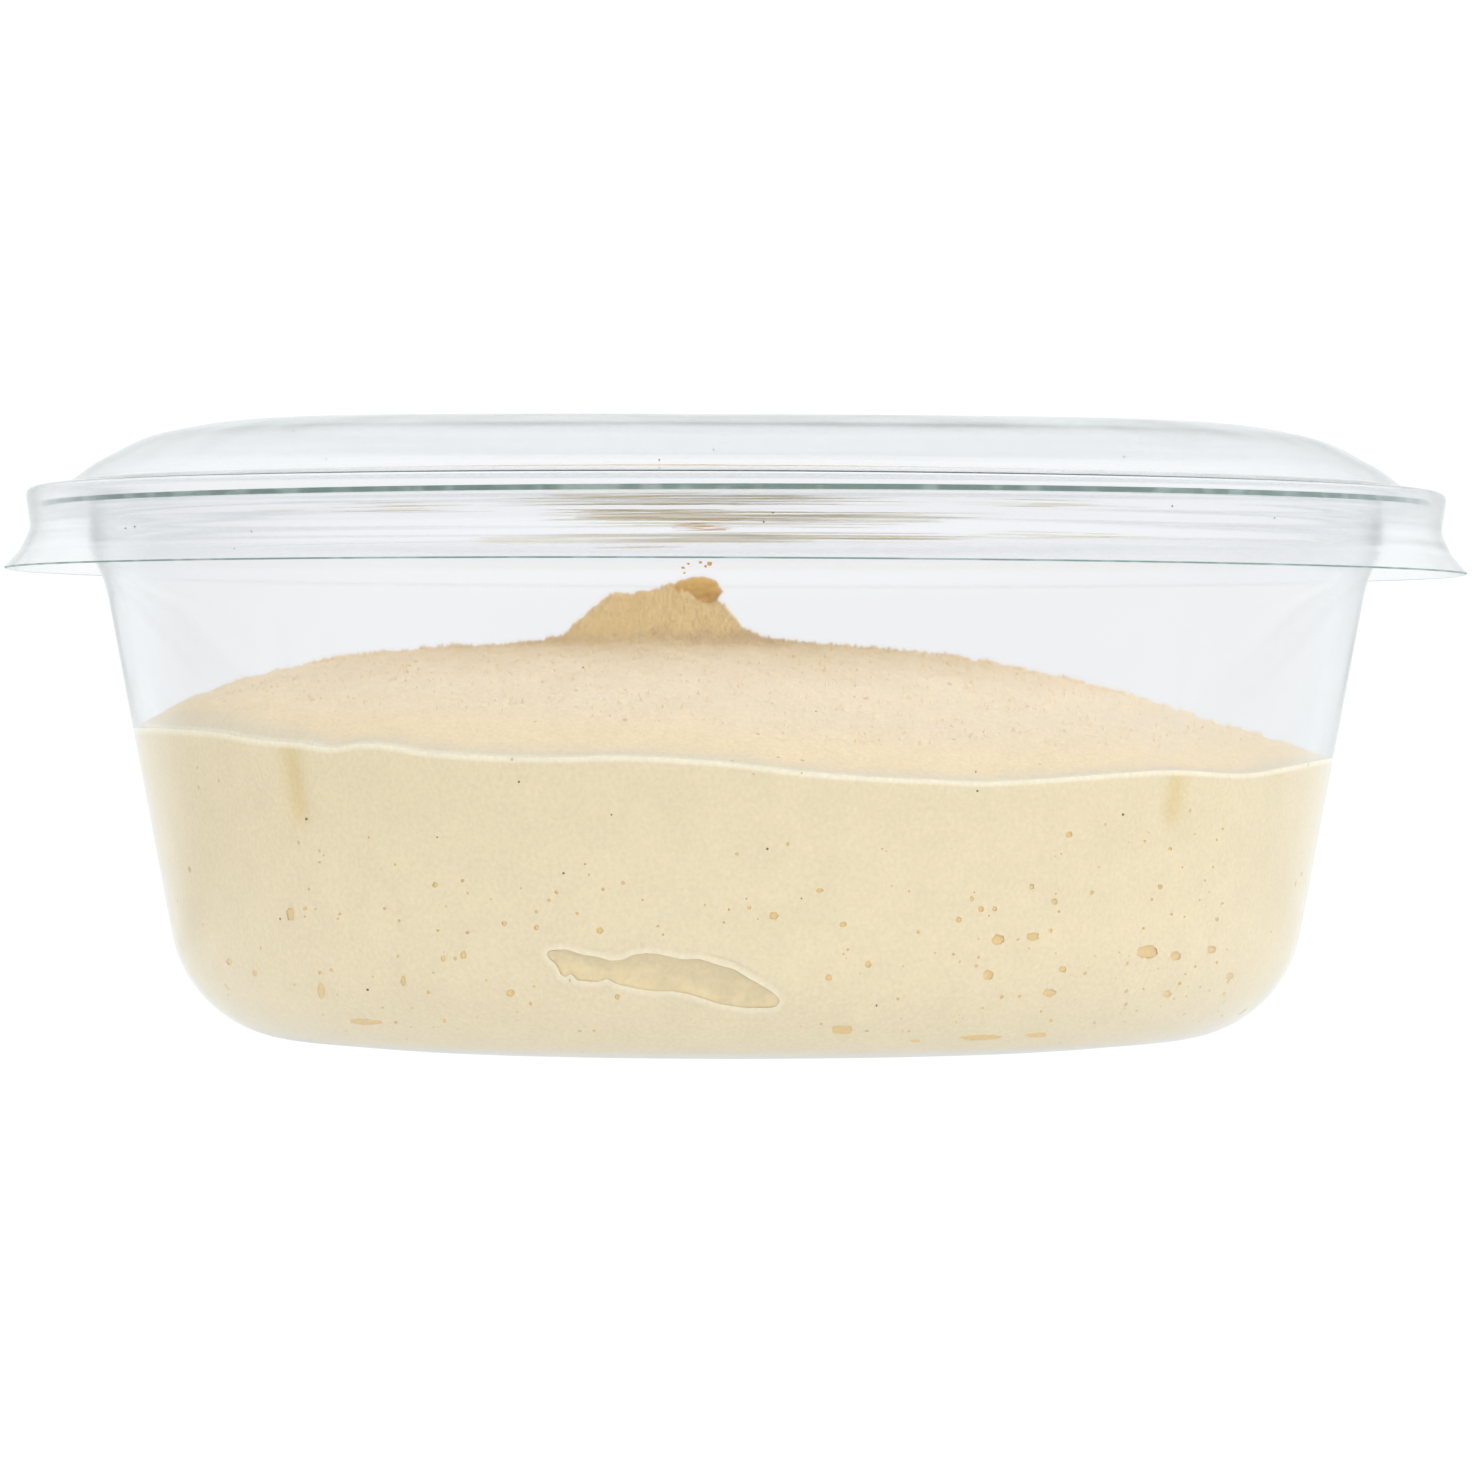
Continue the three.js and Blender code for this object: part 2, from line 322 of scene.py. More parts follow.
def sheared_edge_material(name, deep, pale):
    """Half matt, half clear: light that ran along inside the sheet leaves through the cut, which
    the blade left uneven, so its tone goes from deep to pale over a few millimetres."""
    material, add = new_material(name)
    place = add("TexCoord").outputs["Object"]
    uneven = add("TexNoise", Vector=place, Scale=1 / (2.2 * MM), Detail=1.0)
    share = add("MapRange", EASED, Value=uneven, From_Min=0.45, From_Max=0.68)
    tone = add("Mix", COLOUR, _0=share, _6=linear(deep), _7=linear(pale))
    shader = add("BsdfPrincipled", Base_Color=tone, Roughness=0.35, IOR=PET_IOR, Transmission_Weight=0.4)
    add("OutputMaterial", Surface=shader)
    return material


clear_pet = pet_material("clear_pet_sheet", 0.04)
lid_pet = pet_material("clear_pet_lid_sheet", 0.06)
flange_edge = sheared_edge_material("pet_flange_edge", "#7d9e96", "#aec6c0")
skirt_edge = sheared_edge_material("pet_skirt_edge", "#7f9f98", "#a5beb8")
print("PET at", PET_IOR, "sheet mm", SHEET, DRAWN_SHEET, LID_SHEET)

# %% [markdown]
# ## The tub
# A tapered wall stands on a rounded base, steps out into a short upright collar and ends in a
# narrow flange. Four small upright beads on the inside keep stacked tubs apart.

# %% Tub
WALL_CORNER = 44.9  # radius where the wall's line would meet the table
WALL_TAPER = math.radians(10.4)
WALL_TOP = 38.3
COLLAR_RADIUS = 53.2
FLANGE_HEIGHT = 44.0
FLANGE_RADIUS = 56.95
COLUMNS = 320  # round the tub and the lid
SHARP_FROM = math.radians(50)  # no shading is carried round the cut edge
RIB_ANGLES = (-135, -45, 45, 135)  # degrees from +X
RIB_FOOT, RIB_MIDDLE, RIB_HEAD = 17.7, 27.0, 36.0
RIB_WIDTH = 2.2
RIB_PROUD = 0.22


def wall_radius(height):
    """Outer radius of the straight wall: it grows by the tangent of the taper."""
    return WALL_CORNER + height * math.tan(WALL_TAPER)


tub_corners = [
    (AXIS_GAP, 0.0, 0),
    (31.0, 0.0, 20),
    (44.96, 1.30, 10.5),
    (wall_radius(WALL_TOP), WALL_TOP, 11.0),
    (COLLAR_RADIUS, 40.5, 1.5),
    (COLLAR_RADIUS, FLANGE_HEIGHT, 0.55),
    (FLANGE_RADIUS, FLANGE_HEIGHT, 0),
]
tub_outer = rounded_line(tub_corners)
thickening = smoothstep(tub_outer[:, 1], WALL_TOP, FLANGE_HEIGHT - 0.5)
tub_sheet = DRAWN_SHEET + (SHEET - DRAWN_SHEET) * thickening
tub_inner = beside(tub_outer, tub_sheet)


def rib_depth(angle, height):
    """How far the de-nest beads stand in from the wall: a bell across each bead's width,
    eased in and out at its foot and head."""
    depth = np.zeros(np.broadcast(angle, height).shape)
    ends = smoothstep(height, RIB_FOOT, RIB_FOOT + 2) * (1 - smoothstep(height, RIB_HEAD - 3, RIB_HEAD))
    for rib in RIB_ANGLES:
        away = np.radians((np.degrees(angle) - rib + 180) % 360 - 180) * wall_radius(RIB_MIDDLE)
        depth = depth + RIB_PROUD * np.exp(-(away / (RIB_WIDTH / 2)) ** 2) * ends
    return depth


def press_ribs(grid):
    """Moves a revolved grid's points inwards where the beads are."""
    x, y, height = grid[..., 0], grid[..., 1], grid[..., 2]
    return with_radius(grid, np.hypot(x, y) - rib_depth(np.arctan2(y, x), height))


def sheet_solid(name, grid, edge_row, sheet, cut_edge):
    """A turned solid of sheet whose faces after one row of points are its cut edge."""
    made = turned_solid(name, grid)
    made.data.materials.append(sheet)
    made.data.materials.append(cut_edge)
    slots = np.zeros(len(made.data.polygons), np.int32)
    slots[edge_row * COLUMNS:(edge_row + 1) * COLUMNS] = 1
    made.data.polygons.foreach_set("material_index", slots)
    made.data.set_sharp_from_angle(angle=SHARP_FROM)
    print(name, "rows", len(grid), "faces", len(made.data.polygons))
    return made


inner_face = rippled(revolve(tub_inner, COLUMNS), 31)
tub_grid = press_ribs(np.concatenate([revolve(tub_outer, COLUMNS), inner_face[::-1]]))
tub = sheet_solid("tub_sheet", tub_grid, len(tub_outer) - 1, clear_pet, flange_edge)
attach(tub, "root")
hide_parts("tub")

# %% [markdown]
# ## The lid
# One sheet again: a shallow dome, a ledge that lies over the flange, a neck that grips under it,
# and a flared skirt to lift it by. It sits a quarter of a degree askew, and its dome is pressed a
# little lower towards front and back, as light lids are.

# %% Lid
LID_TILT = math.radians(0.25)
SEAT_HEIGHT = 44.2
CROWN_SAG = 0.6
SAG_HEIGHTS = (45.5, 50.0)  # heights between which the sag comes in
SAG_RADII = (8.0, 44.0)  # and the radii

lid_corners = [
    (AXIS_GAP, 51.2, 0),
    (42.5, 50.85, 30),
    (48.6, 49.6, 12),
    (52.9, 47.3, 10),
    (54.8, 45.85, 0.7),
    (58.45, 45.3, 0.7),
    (57.95, 42.1, 1.6),
    (58.8, 40.3, 2.0),
    (60.1, 38.85, 0),
]
lid_outer = rounded_line(lid_corners)
lid_inner = beside(lid_outer, -LID_SHEET)


def seat_lid(grid):
    """Sags the dome by the square of the sine from the +X axis, then tilts the lid about its
    seat's middle, lower at +X."""
    x, y, z = grid[..., 0], grid[..., 1], grid[..., 2]
    radius = np.hypot(x, y)
    sag = CROWN_SAG * (y / radius) ** 2
    sag = sag * smoothstep(z, *SAG_HEIGHTS) * smoothstep(radius, *SAG_RADII)
    z = z - sag - SEAT_HEIGHT
    tilted_x = x * math.cos(LID_TILT) + z * math.sin(LID_TILT)
    tilted_z = z * math.cos(LID_TILT) - x * math.sin(LID_TILT) + SEAT_HEIGHT
    return np.stack([tilted_x, y, tilted_z], 2)


inner_face = rippled(revolve(lid_inner, COLUMNS), 41)
lid_grid = seat_lid(np.concatenate([inner_face, revolve(lid_outer, COLUMNS)[::-1]]))
lid = sheet_solid("lid_sheet", lid_grid, len(lid_inner) - 1, lid_pet, skirt_edge)
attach(lid, "root")
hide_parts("lid")

# %% [markdown]
# ## The shape of the hummus
# The paste was pumped in from above. It wets the wall up to an uneven line, lies in a full mound
# that is level in the middle and slumps towards the wall, and keeps the peak that the nozzle drew
# up when it lifted. All of that is a height for each place on the plan.

# %% Heights of the paste
# Where the paste's edge lies on the wall: degrees from the front towards +X, and height.
EDGE_LINE = np.array([
    (-90, 25.9), (-70, 26.0), (-56, 25.7), (-49, 25.1), (-43, 24.8), (-39.5, 24.5), (-36.5, 24.8),
    (-33, 24.7), (-29, 24.2), (-23, 23.9), (-16, 23.8), (-10, 23.9), (-5, 23.7), (0, 23.35),
    (6, 22.7), (12, 22.3), (17.5, 22.1), (22.5, 21.9), (29, 22.1), (36, 22.45), (44, 22.7),
    (55, 22.4), (64, 22.9), (74, 23.4), (95, 23.7), (115, 24.4), (130, 24.0), (150, 24.6),
    (172, 24.9), (190, 24.5), (212, 25.2), (235, 25.5), (253, 26.1),
])
MOUND_TOP = 32.7
FULLNESS = (4.2, 2.3)  # at -X and +X: how long the mound stays level towards the wall
SLACKNESS = (1.0, 1.3)  # at -X and +X: how gently it meets the wall
FOLD_ARC = (-66.0, -40.0)  # degrees from the front
FOLD_REACH = 4.2
FOLD_RISE = 0.5
PEAK_PLACE = (-5.5, 0.0)
PEAK_RISE = 4.6
PEAK_HALF_WIDTH = 6.2
PEAK_LEAN = 1.2
PEAK_TILT = 0.19  # how steeply its top falls away towards -X
PEAK_STEEPNESS = (7.0, 5.0)
KNOB_PLACE = (-3.0, -0.8)
KNOB_RADIUS = 1.9
KNOB_RISE = 0.5


def edge_height(degrees):
    """Smooth closed curve through EDGE_LINE: between two points, the cubic whose slope at each is
    that of the line joining its neighbours (Catmull-Rom)."""
    angles = np.append(EDGE_LINE[:, 0], EDGE_LINE[0, 0] + 360)
    heights = EDGE_LINE[:, 1]
    count = len(heights)
    turned = (np.asarray(degrees) - angles[0]) % 360 + angles[0]
    index = np.clip(np.searchsorted(angles, turned, side="right") - 1, 0, count - 1)
    t = (turned - angles[index]) / (angles[index + 1] - angles[index])
    a, b, c, d = (heights[(index + k) % count] for k in (-1, 0, 1, 2))
    return b + 0.5 * t * (c - a + t * (2 * a - 5 * b + 4 * c - d + t * (3 * (b - c) + d - a)))


def blend(pair, share):
    """From the first value of a pair to the second."""
    return pair[0] + (pair[1] - pair[0]) * share


def fold_share(x, y, wall):
    """1 on the fold that lies against the wall at the left, 0 elsewhere. Its reach in from the
    wall shrinks with the root of what is left of its arc."""
    degrees = np.degrees(np.arctan2(x, -y))
    start, end = FOLD_ARC
    left = np.clip((end - degrees) / (end - start), 0, 1)
    reach = FOLD_REACH * np.sqrt(left) + 0.05
    inward = wall - np.hypot(x, y)
    return (1 - smoothstep(inward, reach - 0.5, reach)) * smoothstep(degrees, start - 16, start) * (left > 0)


def mound_height(x, y, wall):
    """The level top less a power of the distance from the axis, the powers differing by side,
    and the fold on top of that."""
    radius = np.hypot(x, y)
    right = (x / np.maximum(radius, 1e-6) + 1) / 2
    edge = edge_height(np.degrees(np.arctan2(x, -y)))
    falloff = 1 - np.minimum(radius / wall, 1) ** blend(FULLNESS, right)
    fold = FOLD_RISE * fold_share(x, y, wall) * smoothstep(wall - radius, 0, 1.5)
    return edge + (MOUND_TOP - edge) * np.maximum(falloff, 0) ** blend(SLACKNESS, right) + fold


def peak_bell(x, y):
    """A flat-topped bell, 1 on the peak and 0 away from it, wider towards -X."""
    dx, dy = x - PEAK_PLACE[0], y - PEAK_PLACE[1]
    away = np.hypot(dx, dy)
    side = dx / np.maximum(away, 1e-6)
    return 1 / (1 + (away / (PEAK_HALF_WIDTH - PEAK_LEAN * side)) ** blend(PEAK_STEEPNESS, (side + 1) / 2))


def peak_height(x, y):
    """The bell at its full rise, less towards -X, with half a ball under the knob."""
    knob_away = np.hypot(x - KNOB_PLACE[0], y - KNOB_PLACE[1]) / KNOB_RADIUS
    knob = KNOB_RISE * np.sqrt(np.maximum(1 - knob_away ** 2, 0))
    return peak_bell(x, y) * (PEAK_RISE + PEAK_TILT * np.minimum(x - PEAK_PLACE[0], 0)) + knob


# %% [markdown]
# ## The paste as one closed mesh
# Rings start at the middle of the base, follow the tub's inner face up to the paste's edge, and
# close in on the peak. The paste reaches a tenth of a millimetre into the sheet, so that no air
# shows between them. Columns are closest where the camera sees most, at the front.

# %% Grid of the paste
INTO_SHEET = 0.1
ABOVE_PASTE = 30.0  # a height that its edge on the wall stays below
PASTE_COLUMNS = 440
FRONT_CROWDING = 0.5
BASE_ROWS, HEEL_ROWS, WALL_ROWS, TOP_ROWS = 7, 12, 20, 116
HEEL_TOP = 10.5  # height up to which the rows follow the curve of the base
EDGE_CROWDING, RIM_CROWDING = 1.7, 1.1  # rows lie closer towards the edge, from below and above
POLE_SHARE = 0.003
GRAIN_SIZES = ((2.6, 0.2), (1.3, 0.22), (0.75, 0.2), (0.45, 0.12))  # lump size and height
PEAK_ROUGHER = 0.6

touch = beside(tub_outer, tub_sheet - INTO_SHEET)
touch = touch[: np.argmax(touch[:, 1] > ABOVE_PASTE)]
touch_radius = radius_on(touch)  # where the paste meets the sheet

# Degrees from the front towards +X, closer together in front: an even step less a sine.
even = np.linspace(-np.pi, np.pi, PASTE_COLUMNS, endpoint=False)
from_front = np.degrees(even - FRONT_CROWDING * np.sin(even))
aside, ahead = np.sin(np.radians(from_front)), -np.cos(np.radians(from_front))
edge = edge_height(from_front)
edge_wall = touch_radius(edge)

flat_end = np.argmax(touch[:, 1] > touch[0, 1] + 0.02)
base_radii = np.linspace(0.5, touch[flat_end, 0], BASE_ROWS)
base_rows = np.stack([base_radii, np.interp(base_radii, touch[:, 0], touch[:, 1])], 1)
length = run_lengths(touch)
marks = np.linspace(length[flat_end], np.interp(HEEL_TOP, touch[:, 1], length), HEEL_ROWS + 1)[1:]
heel_rows = np.stack([np.interp(marks, length, way) for way in touch.T], 1)
shares = 1 - (1 - np.linspace(0, 1, WALL_ROWS + 1)[1:, None]) ** EDGE_CROWDING
wall_z = HEEL_TOP + (edge - HEEL_TOP) * shares
fixed_rows = np.concatenate([base_rows, heel_rows])
row_z = np.concatenate([np.repeat(fixed_rows[:, 1:], PASTE_COLUMNS, 1), wall_z])
row_r = np.concatenate([np.repeat(fixed_rows[:, :1], PASTE_COLUMNS, 1), touch_radius(wall_z)])
wall_part = press_ribs(np.stack([row_r * aside, row_r * ahead, row_z], 2))

top_share = np.linspace(1, 0, TOP_ROWS + 1)[1:, None] ** RIM_CROWDING * (1 - POLE_SHARE) + POLE_SHARE
shift = 1 - smoothstep(top_share, 0.1, 1)
top_x = edge_wall * top_share * aside + PEAK_PLACE[0] * shift
top_y = edge_wall * top_share * ahead + PEAK_PLACE[1] * shift
top_z = mound_height(top_x, top_y, edge_wall) + peak_height(top_x, top_y)
paste_grid = np.concatenate([wall_part, np.stack([top_x, top_y, top_z], 2)])
print("paste grid", paste_grid.shape)

# %% Relief of the open paste
first_top = len(wall_part)


def grain_height(places):
    """Four sizes of soft lumps, added up, and rougher by a share on the peak."""
    lumps = 0
    for seed, (size, height) in enumerate(GRAIN_SIZES, 3):
        lumps = lumps + height * lattice_noise(places, size, seed)
    return lumps * (1 + PEAK_ROUGHER * peak_bell(places[:, 0], places[:, 1]))


points = paste_grid.reshape(-1, 3)
row_of = np.repeat(np.arange(len(paste_grid)), PASTE_COLUMNS)
free = smoothstep(row_of, first_top - 0.5, first_top + 5)
points[:, 2] += free * grain_height(points)

# %% Tones of the paste, as a number a point
TANNED = (27.4, 31.2)  # heights between which the mound's top turns tan
TAN_SPREAD = 25.0  # and how far round the peak
TAN_PATCHES, TAN_PATCH_SIZE = 1.4, 3.5
PEAK_TONED = (0.03, 0.4)  # shares of the peak's bell between which its own tone comes in
BRIM_SHARES = (0.78, 0.96)  # shares of the way to the wall over which it is painted paler, as light that offsets the shade there
LIP_HALF = (0.2, 0.5)  # half the width of the painted highlight along the edge, and where it ends


def dryness(places):
    """Two shares from 0 to 1: how far a place belongs to the tan top of the mound, by its height,
    some noise and its distance from the peak, and how far to the peak itself."""
    away = np.hypot(places[:, 0] - PEAK_PLACE[0], places[:, 1] - PEAK_PLACE[1])
    patchy = places[:, 2] + TAN_PATCHES * lattice_noise(places, TAN_PATCH_SIZE, 71)
    tan_share = smoothstep(patchy, *TANNED) * np.exp(-(away / TAN_SPREAD) ** 2)
    return tan_share, smoothstep(peak_bell(places[:, 0], places[:, 1]), *PEAK_TONED)


paste = turned_solid("hummus_paste", points.reshape(paste_grid.shape))
tan_share, peak_share = dryness(points)
wetted = row_of < first_top
below_edge = np.tile(edge, len(paste_grid)) - points[:, 2]
# A pale line along the paste's edge on the wall: a painted highlight.
lip = (1 - smoothstep(np.abs(below_edge), *LIP_HALF)) * wetted
wall_of = np.tile(edge_wall, len(paste_grid))
# Paler towards the wall: painted light that offsets the shade between paste and wall. The fold at the left
# takes the same pale tone.
brim = smoothstep(np.hypot(points[:, 0], points[:, 1]) / wall_of, *BRIM_SHARES) * free
brim = np.maximum(brim, fold_share(points[:, 0], points[:, 1], wall_of) * free)
# Darker on the beads: painted shade along each bead.
rib = rib_depth(np.arctan2(points[:, 1], points[:, 0]), points[:, 2]) / RIB_PROUD * wetted
tones = {"free": free, "tan": tan_share * free, "peak": peak_share * free, "lip": lip, "rib": rib,
         "brim": brim}
for name, values in tones.items():
    at_poles = [values[:PASTE_COLUMNS].mean(), values[-PASTE_COLUMNS:].mean()]
    set_attribute(paste, name, np.concatenate([values, at_poles]))
print("paste faces", len(paste.data.polygons), "height mm", round(points[:, 2].max(), 2))

# %% [markdown]
# ## Air against the wall
# Pumping traps air between paste and wall: one long flat bubble low in front, and many small ones,
# thickest towards the right and near the base. They are hollows with a crisp rim, so they are cut
# out of the paste with a Boolean, each by a closed body that stands across its surface.

# %% Long air pocket
POCKET_UPPER = np.array([
    (-14.55, 8.75), (-14.4, 8.95), (-14.0, 9.05), (-12.9, 9.07), (-11.8, 8.7), (-10.7, 8.55), (-9.6, 8.23),
    (-8.7, 8.3), (-7.9, 8.7), (-6.8, 8.85), (-5.9, 8.77), (-4.3, 8.4), (-2.75, 8.4), (-1.5, 8.0), (-0.1, 7.6),
    (1.0, 6.9), (2.2, 6.25), (3.1, 5.6), (3.4, 5.2),
])
POCKET_LOWER = np.array([
    (-14.55, 8.6), (-14.4, 8.25), (-14.0, 8.0), (-13.7, 7.6), (-13.5, 7.05), (-13.1, 6.85), (-12.7, 7.1),
    (-12.2, 6.6), (-11.2, 6.5), (-10.5, 6.5), (-9.9, 6.75), (-9.3, 6.4), (-8.6, 6.2), (-7.7, 6.0), (-6.2, 5.8),
    (-4.8, 5.8), (-3.7, 5.6), (-2.4, 5.2), (-1.2, 4.8), (0.7, 4.5), (2.6, 4.5), (3.1, 4.65), (3.4, 5.0),
])
POCKET_DEPTH = 0.45
POCKET_STEPS = (150, 26)  # along and across
STAND_OUT = 0.5  # how far a cutting body reaches outside the paste
RAGGED = 0.09  # how uneven the outline is between its points


def on_front_wall(x, z, depth, radius_at=touch_radius):
    """Places a depth inside a turned surface, on its front, from x and height."""
    radius = radius_at(z) - depth
    return np.stack([x, -np.sqrt(np.maximum(radius ** 2 - x ** 2, 1)), z], -1)


def pocket_body():
    """A grid of points over the pocket's outline, closed across. Behind it the depth rises gently
    from the rim, as a power of across * (1 - across), with soft lumps; in front it stands out
    evenly."""
    steps = [np.linspace(0, 1, count) for count in POCKET_STEPS]
    along, across = np.meshgrid(*steps, indexing="ij")
    x = POCKET_UPPER[0, 0] + (POCKET_UPPER[-1, 0] - POCKET_UPPER[0, 0]) * along
    level = np.stack([x, 0 * x, 0 * x], -1)
    upper = np.interp(x, *POCKET_UPPER.T) + RAGGED * lattice_noise(level, 0.55, 21)
    lower = np.interp(x, *POCKET_LOWER.T) + RAGGED * lattice_noise(level, 0.6, 22)
    z = lower + np.maximum(upper - lower, 0.05) * across
    rise = np.minimum((4 * across * (1 - across)) ** 0.7, (9 * along * (1 - along)) ** 0.7).clip(0, 1)
    lumps = lattice_noise(np.stack([x, 0 * x, z], -1), 1.1, 23)
    back = on_front_wall(x, z, POCKET_DEPTH * rise * (1 + 0.3 * lumps))
    return np.concatenate([back, on_front_wall(x, z, -STAND_OUT)[:, ::-1]], 1)


cutter = turned_solid("pocket_body", pocket_body())

# %% Small bubbles
# Across the front and height of each, then its width and height, in millimetres.
BUBBLES = (
    (20.2, 9.7, 1.0, 0.8), (22.9, 9.9, 1.0, 0.7), (32.1, 8.5, 1.8, 1.0), (34.5, 8.1, 0.9, 0.7),
    (37.5, 8.5, 0.8, 0.6), (19.4, 7.0, 0.85, 0.8), (24.3, 5.5, 1.1, 0.6), (25.3, 7.3, 0.6, 0.5),
    (25.7, 17.8, 0.5, 0.5), (24.6, 12.6, 0.55, 0.5), (22.8, 13.8, 0.4, 0.4), (18.8, 12.1, 0.45, 0.45),
    (17.1, 11.3, 0.45, 0.45), (19.9, 12.1, 0.4, 0.4), (18.1, 12.9, 0.35, 0.35), (33.1, 13.6, 0.45, 0.45),
    (39.2, 6.3, 0.7, 0.6), (33.9, 5.1, 0.7, 0.6), (10.1, 7.9, 0.55, 0.55), (7.1, 6.9, 0.55, 0.5),
    (2.9, 11.7, 0.7, 0.6), (6.4, 13.6, 0.55, 0.4), (8.2, 11.0, 0.55, 0.4), (8.2, 2.8, 1.8, 0.7),
    (19.0, 2.0, 3.4, 0.5), (23.5, 2.1, 1.8, 0.45), (13.9, 1.8, 0.9, 0.3), (-10.4, 10.5, 0.55, 0.5),
    (-21.0, 8.5, 0.55, 0.6), (-22.6, 8.2, 0.4, 0.5), (-17.4, 5.6, 0.7, 0.6), (-25.8, 6.4, 0.45, 0.8),
    (-15.3, 10.7, 0.4, 0.4), (-17.8, 11.0, 0.4, 0.4), (-9.1, 5.4, 0.4, 0.4), (-34.9, 11.4, 0.7, 1.0),
    (-32.5, 5.4, 0.6, 1.3), (-29.0, 3.0, 2.7, 0.5), (-40.3, 7.4, 0.55, 0.55), (-38.1, 6.6, 0.4, 0.6),
    (-23.2, 13.9, 0.45, 0.45),
)
SMALL_BUBBLES = 150
SMALL_WIDTHS = (0.14, 0.34)
SMALL_X = (39.0, 1.9, 1.35)  # the rightmost, how far left as a share of it, and their crowding
LOWEST_BUBBLE = 2.6
SMALL_Z = (15.5, 1.6)  # how far up from there, and their crowding
ROUND_POCKET = (-15.5, 4.5, 3.8, 9.8)  # x from and to, z from and to
OTHER_SIDES = ((90, 50, 20), (180, 90, 33), (270, 50, 20))  # degrees round, count, reach
OTHER_WIDTHS = (0.16, 1.1)  # the least, and what the widest has more
BUBBLE_SUNK = (0.22, 0.06)  # share of its smaller side that it reaches in and out, and more
BALL_RINGS, BALL_SIDES = 7, 12
LUMPINESS = 0.16
rng = np.random.default_rng(20)


def flat_drops(wanted, sunk, radius_at=touch_radius):
    """One closed ball for each row of [x, z, width, height], flattened, lumpy and half sunk in
    the front of a turned surface: rings from pole to pole along the height."""
    x, z, width, height = wanted.T[:, :, None]
    turn = np.linspace(0, np.pi, BALL_RINGS + 2)[1:-1, None]
    around = np.linspace(0, 2 * np.pi, BALL_SIDES, endpoint=False)
    side = np.append(np.sin(turn) * np.cos(around), [0, 0])
    deep = np.append(np.sin(turn) * np.sin(around), [0, 0])
    up = np.append(np.repeat(np.cos(turn), BALL_SIDES), [1, -1])
    lumpy = 1 + LUMPINESS * rng.uniform(-1, 1, (len(wanted), len(side)))
    depth = (sunk[0] * np.minimum(width, height) + sunk[1]) * deep * lumpy
    points = on_front_wall(x + width / 2 * side * lumpy, z + height / 2 * up * lumpy, depth, radius_at)
    step = np.arange(len(wanted))[:, None, None] * len(side)
    body = closed_grid_faces(BALL_RINGS, BALL_SIDES)[:, ::-1] + step
    caps = end_fans(BALL_RINGS, BALL_SIDES)[:, [0, 2, 1]] + step
    return points.reshape(-1, 3), body.reshape(-1, 4), caps.reshape(-1, 3)


def small_bubbles(count):
    """Seeded places, thicker to the right and near the base, none in the pocket or on another."""
    kept = [np.array(b) for b in BUBBLES]
    left, right, low, high = ROUND_POCKET
    while len(kept) < count + len(BUBBLES):
        x = SMALL_X[0] * (1 - SMALL_X[1] * rng.uniform() ** SMALL_X[2])
        z = LOWEST_BUBBLE + SMALL_Z[0] * rng.uniform() ** SMALL_Z[1]
        width = SMALL_WIDTHS[0] + (SMALL_WIDTHS[1] - SMALL_WIDTHS[0]) * rng.uniform() ** 2
        in_pocket = left < x < right and low < z < high
        clear = all(math.hypot(x - k[0], z - k[1]) > 0.5 * (width + max(k[2:])) + 0.15 for k in kept)
        if clear and not in_pocket:
            kept.append(np.array((x, z, width, width * rng.uniform(0.8, 1.1))))
    return np.array(kept)


def other_bubbles(count, reach):
    """Seeded bubbles for a side that the picture doesn't show, up to a reach from its middle: most
    small, a few large."""
    x = reach * rng.uniform(-1, 1, count)
    z = LOWEST_BUBBLE + 16 * rng.uniform(0, 1, count) ** 1.5
    width = OTHER_WIDTHS[0] + OTHER_WIDTHS[1] * rng.uniform(0, 1, count) ** 5
    return np.stack([x, z, width, width * rng.uniform(0.6, 1.0, count)], 1)


def turned(points, degrees):
    """Points turned about the upright axis."""
    x, y, z = points.T
    cos, sin = math.cos(math.radians(degrees)), math.sin(math.radians(degrees))
    return np.stack([cos * x - sin * y, sin * x + cos * y, z], 1)


def joined(parts):
    """One mesh's points, quads and triangles from those of several."""
    points, quads, triangles = zip(*parts)
    starts = np.cumsum([0] + [len(places) for places in points])
    quads = [np.reshape(faces, (-1, 4)) + start for faces, start in zip(quads, starts)]
    triangles = [faces + start for faces, start in zip(triangles, starts)]
    return np.concatenate(points), np.concatenate(quads), np.concatenate(triangles)


parts = [flat_drops(small_bubbles(SMALL_BUBBLES), BUBBLE_SUNK)]
for degrees, count, reach in OTHER_SIDES:
    points, quads, triangles = flat_drops(other_bubbles(count, reach), BUBBLE_SUNK)
    parts.append((turned(points, degrees), quads, triangles))
bubbles = mesh_object("bubble_bodies", *joined(parts))
print("bubbles", len(bubbles.data.vertices) // (BALL_RINGS * BALL_SIDES + 2))

# %% Cutting them out
# The cut faces keep the finish of the body that cut them, so all three list the same finishes.
CREASE = math.radians(38)
paste_skin, pocket_skin, bubble_skin = finishes = [
    new_material(name)[0] for name in ("chickpea_paste", "air_pocket_skin", "air_bubble_skin")]
for index, piece in enumerate((paste, cutter, bubbles)):
    for finish in finishes:
        piece.data.materials.append(finish)
    piece.data.polygons.foreach_set("material_index", np.full(len(piece.data.polygons), index, np.int32))

def cut_away(body, cutter):
    """Takes the cutter out of the body for good and removes the cutter."""
    cut = body.modifiers.new("cut", "BOOLEAN")
    cut.object = cutter
    cut.solver = "MANIFOLD"
    made = bpy.data.meshes.new_from_object(body.evaluated_get(bpy.context.evaluated_depsgraph_get()))
    body.modifiers.clear()
    old = body.data
    body.data = made
    bpy.data.meshes.remove(old)
    bpy.data.objects.remove(cutter)


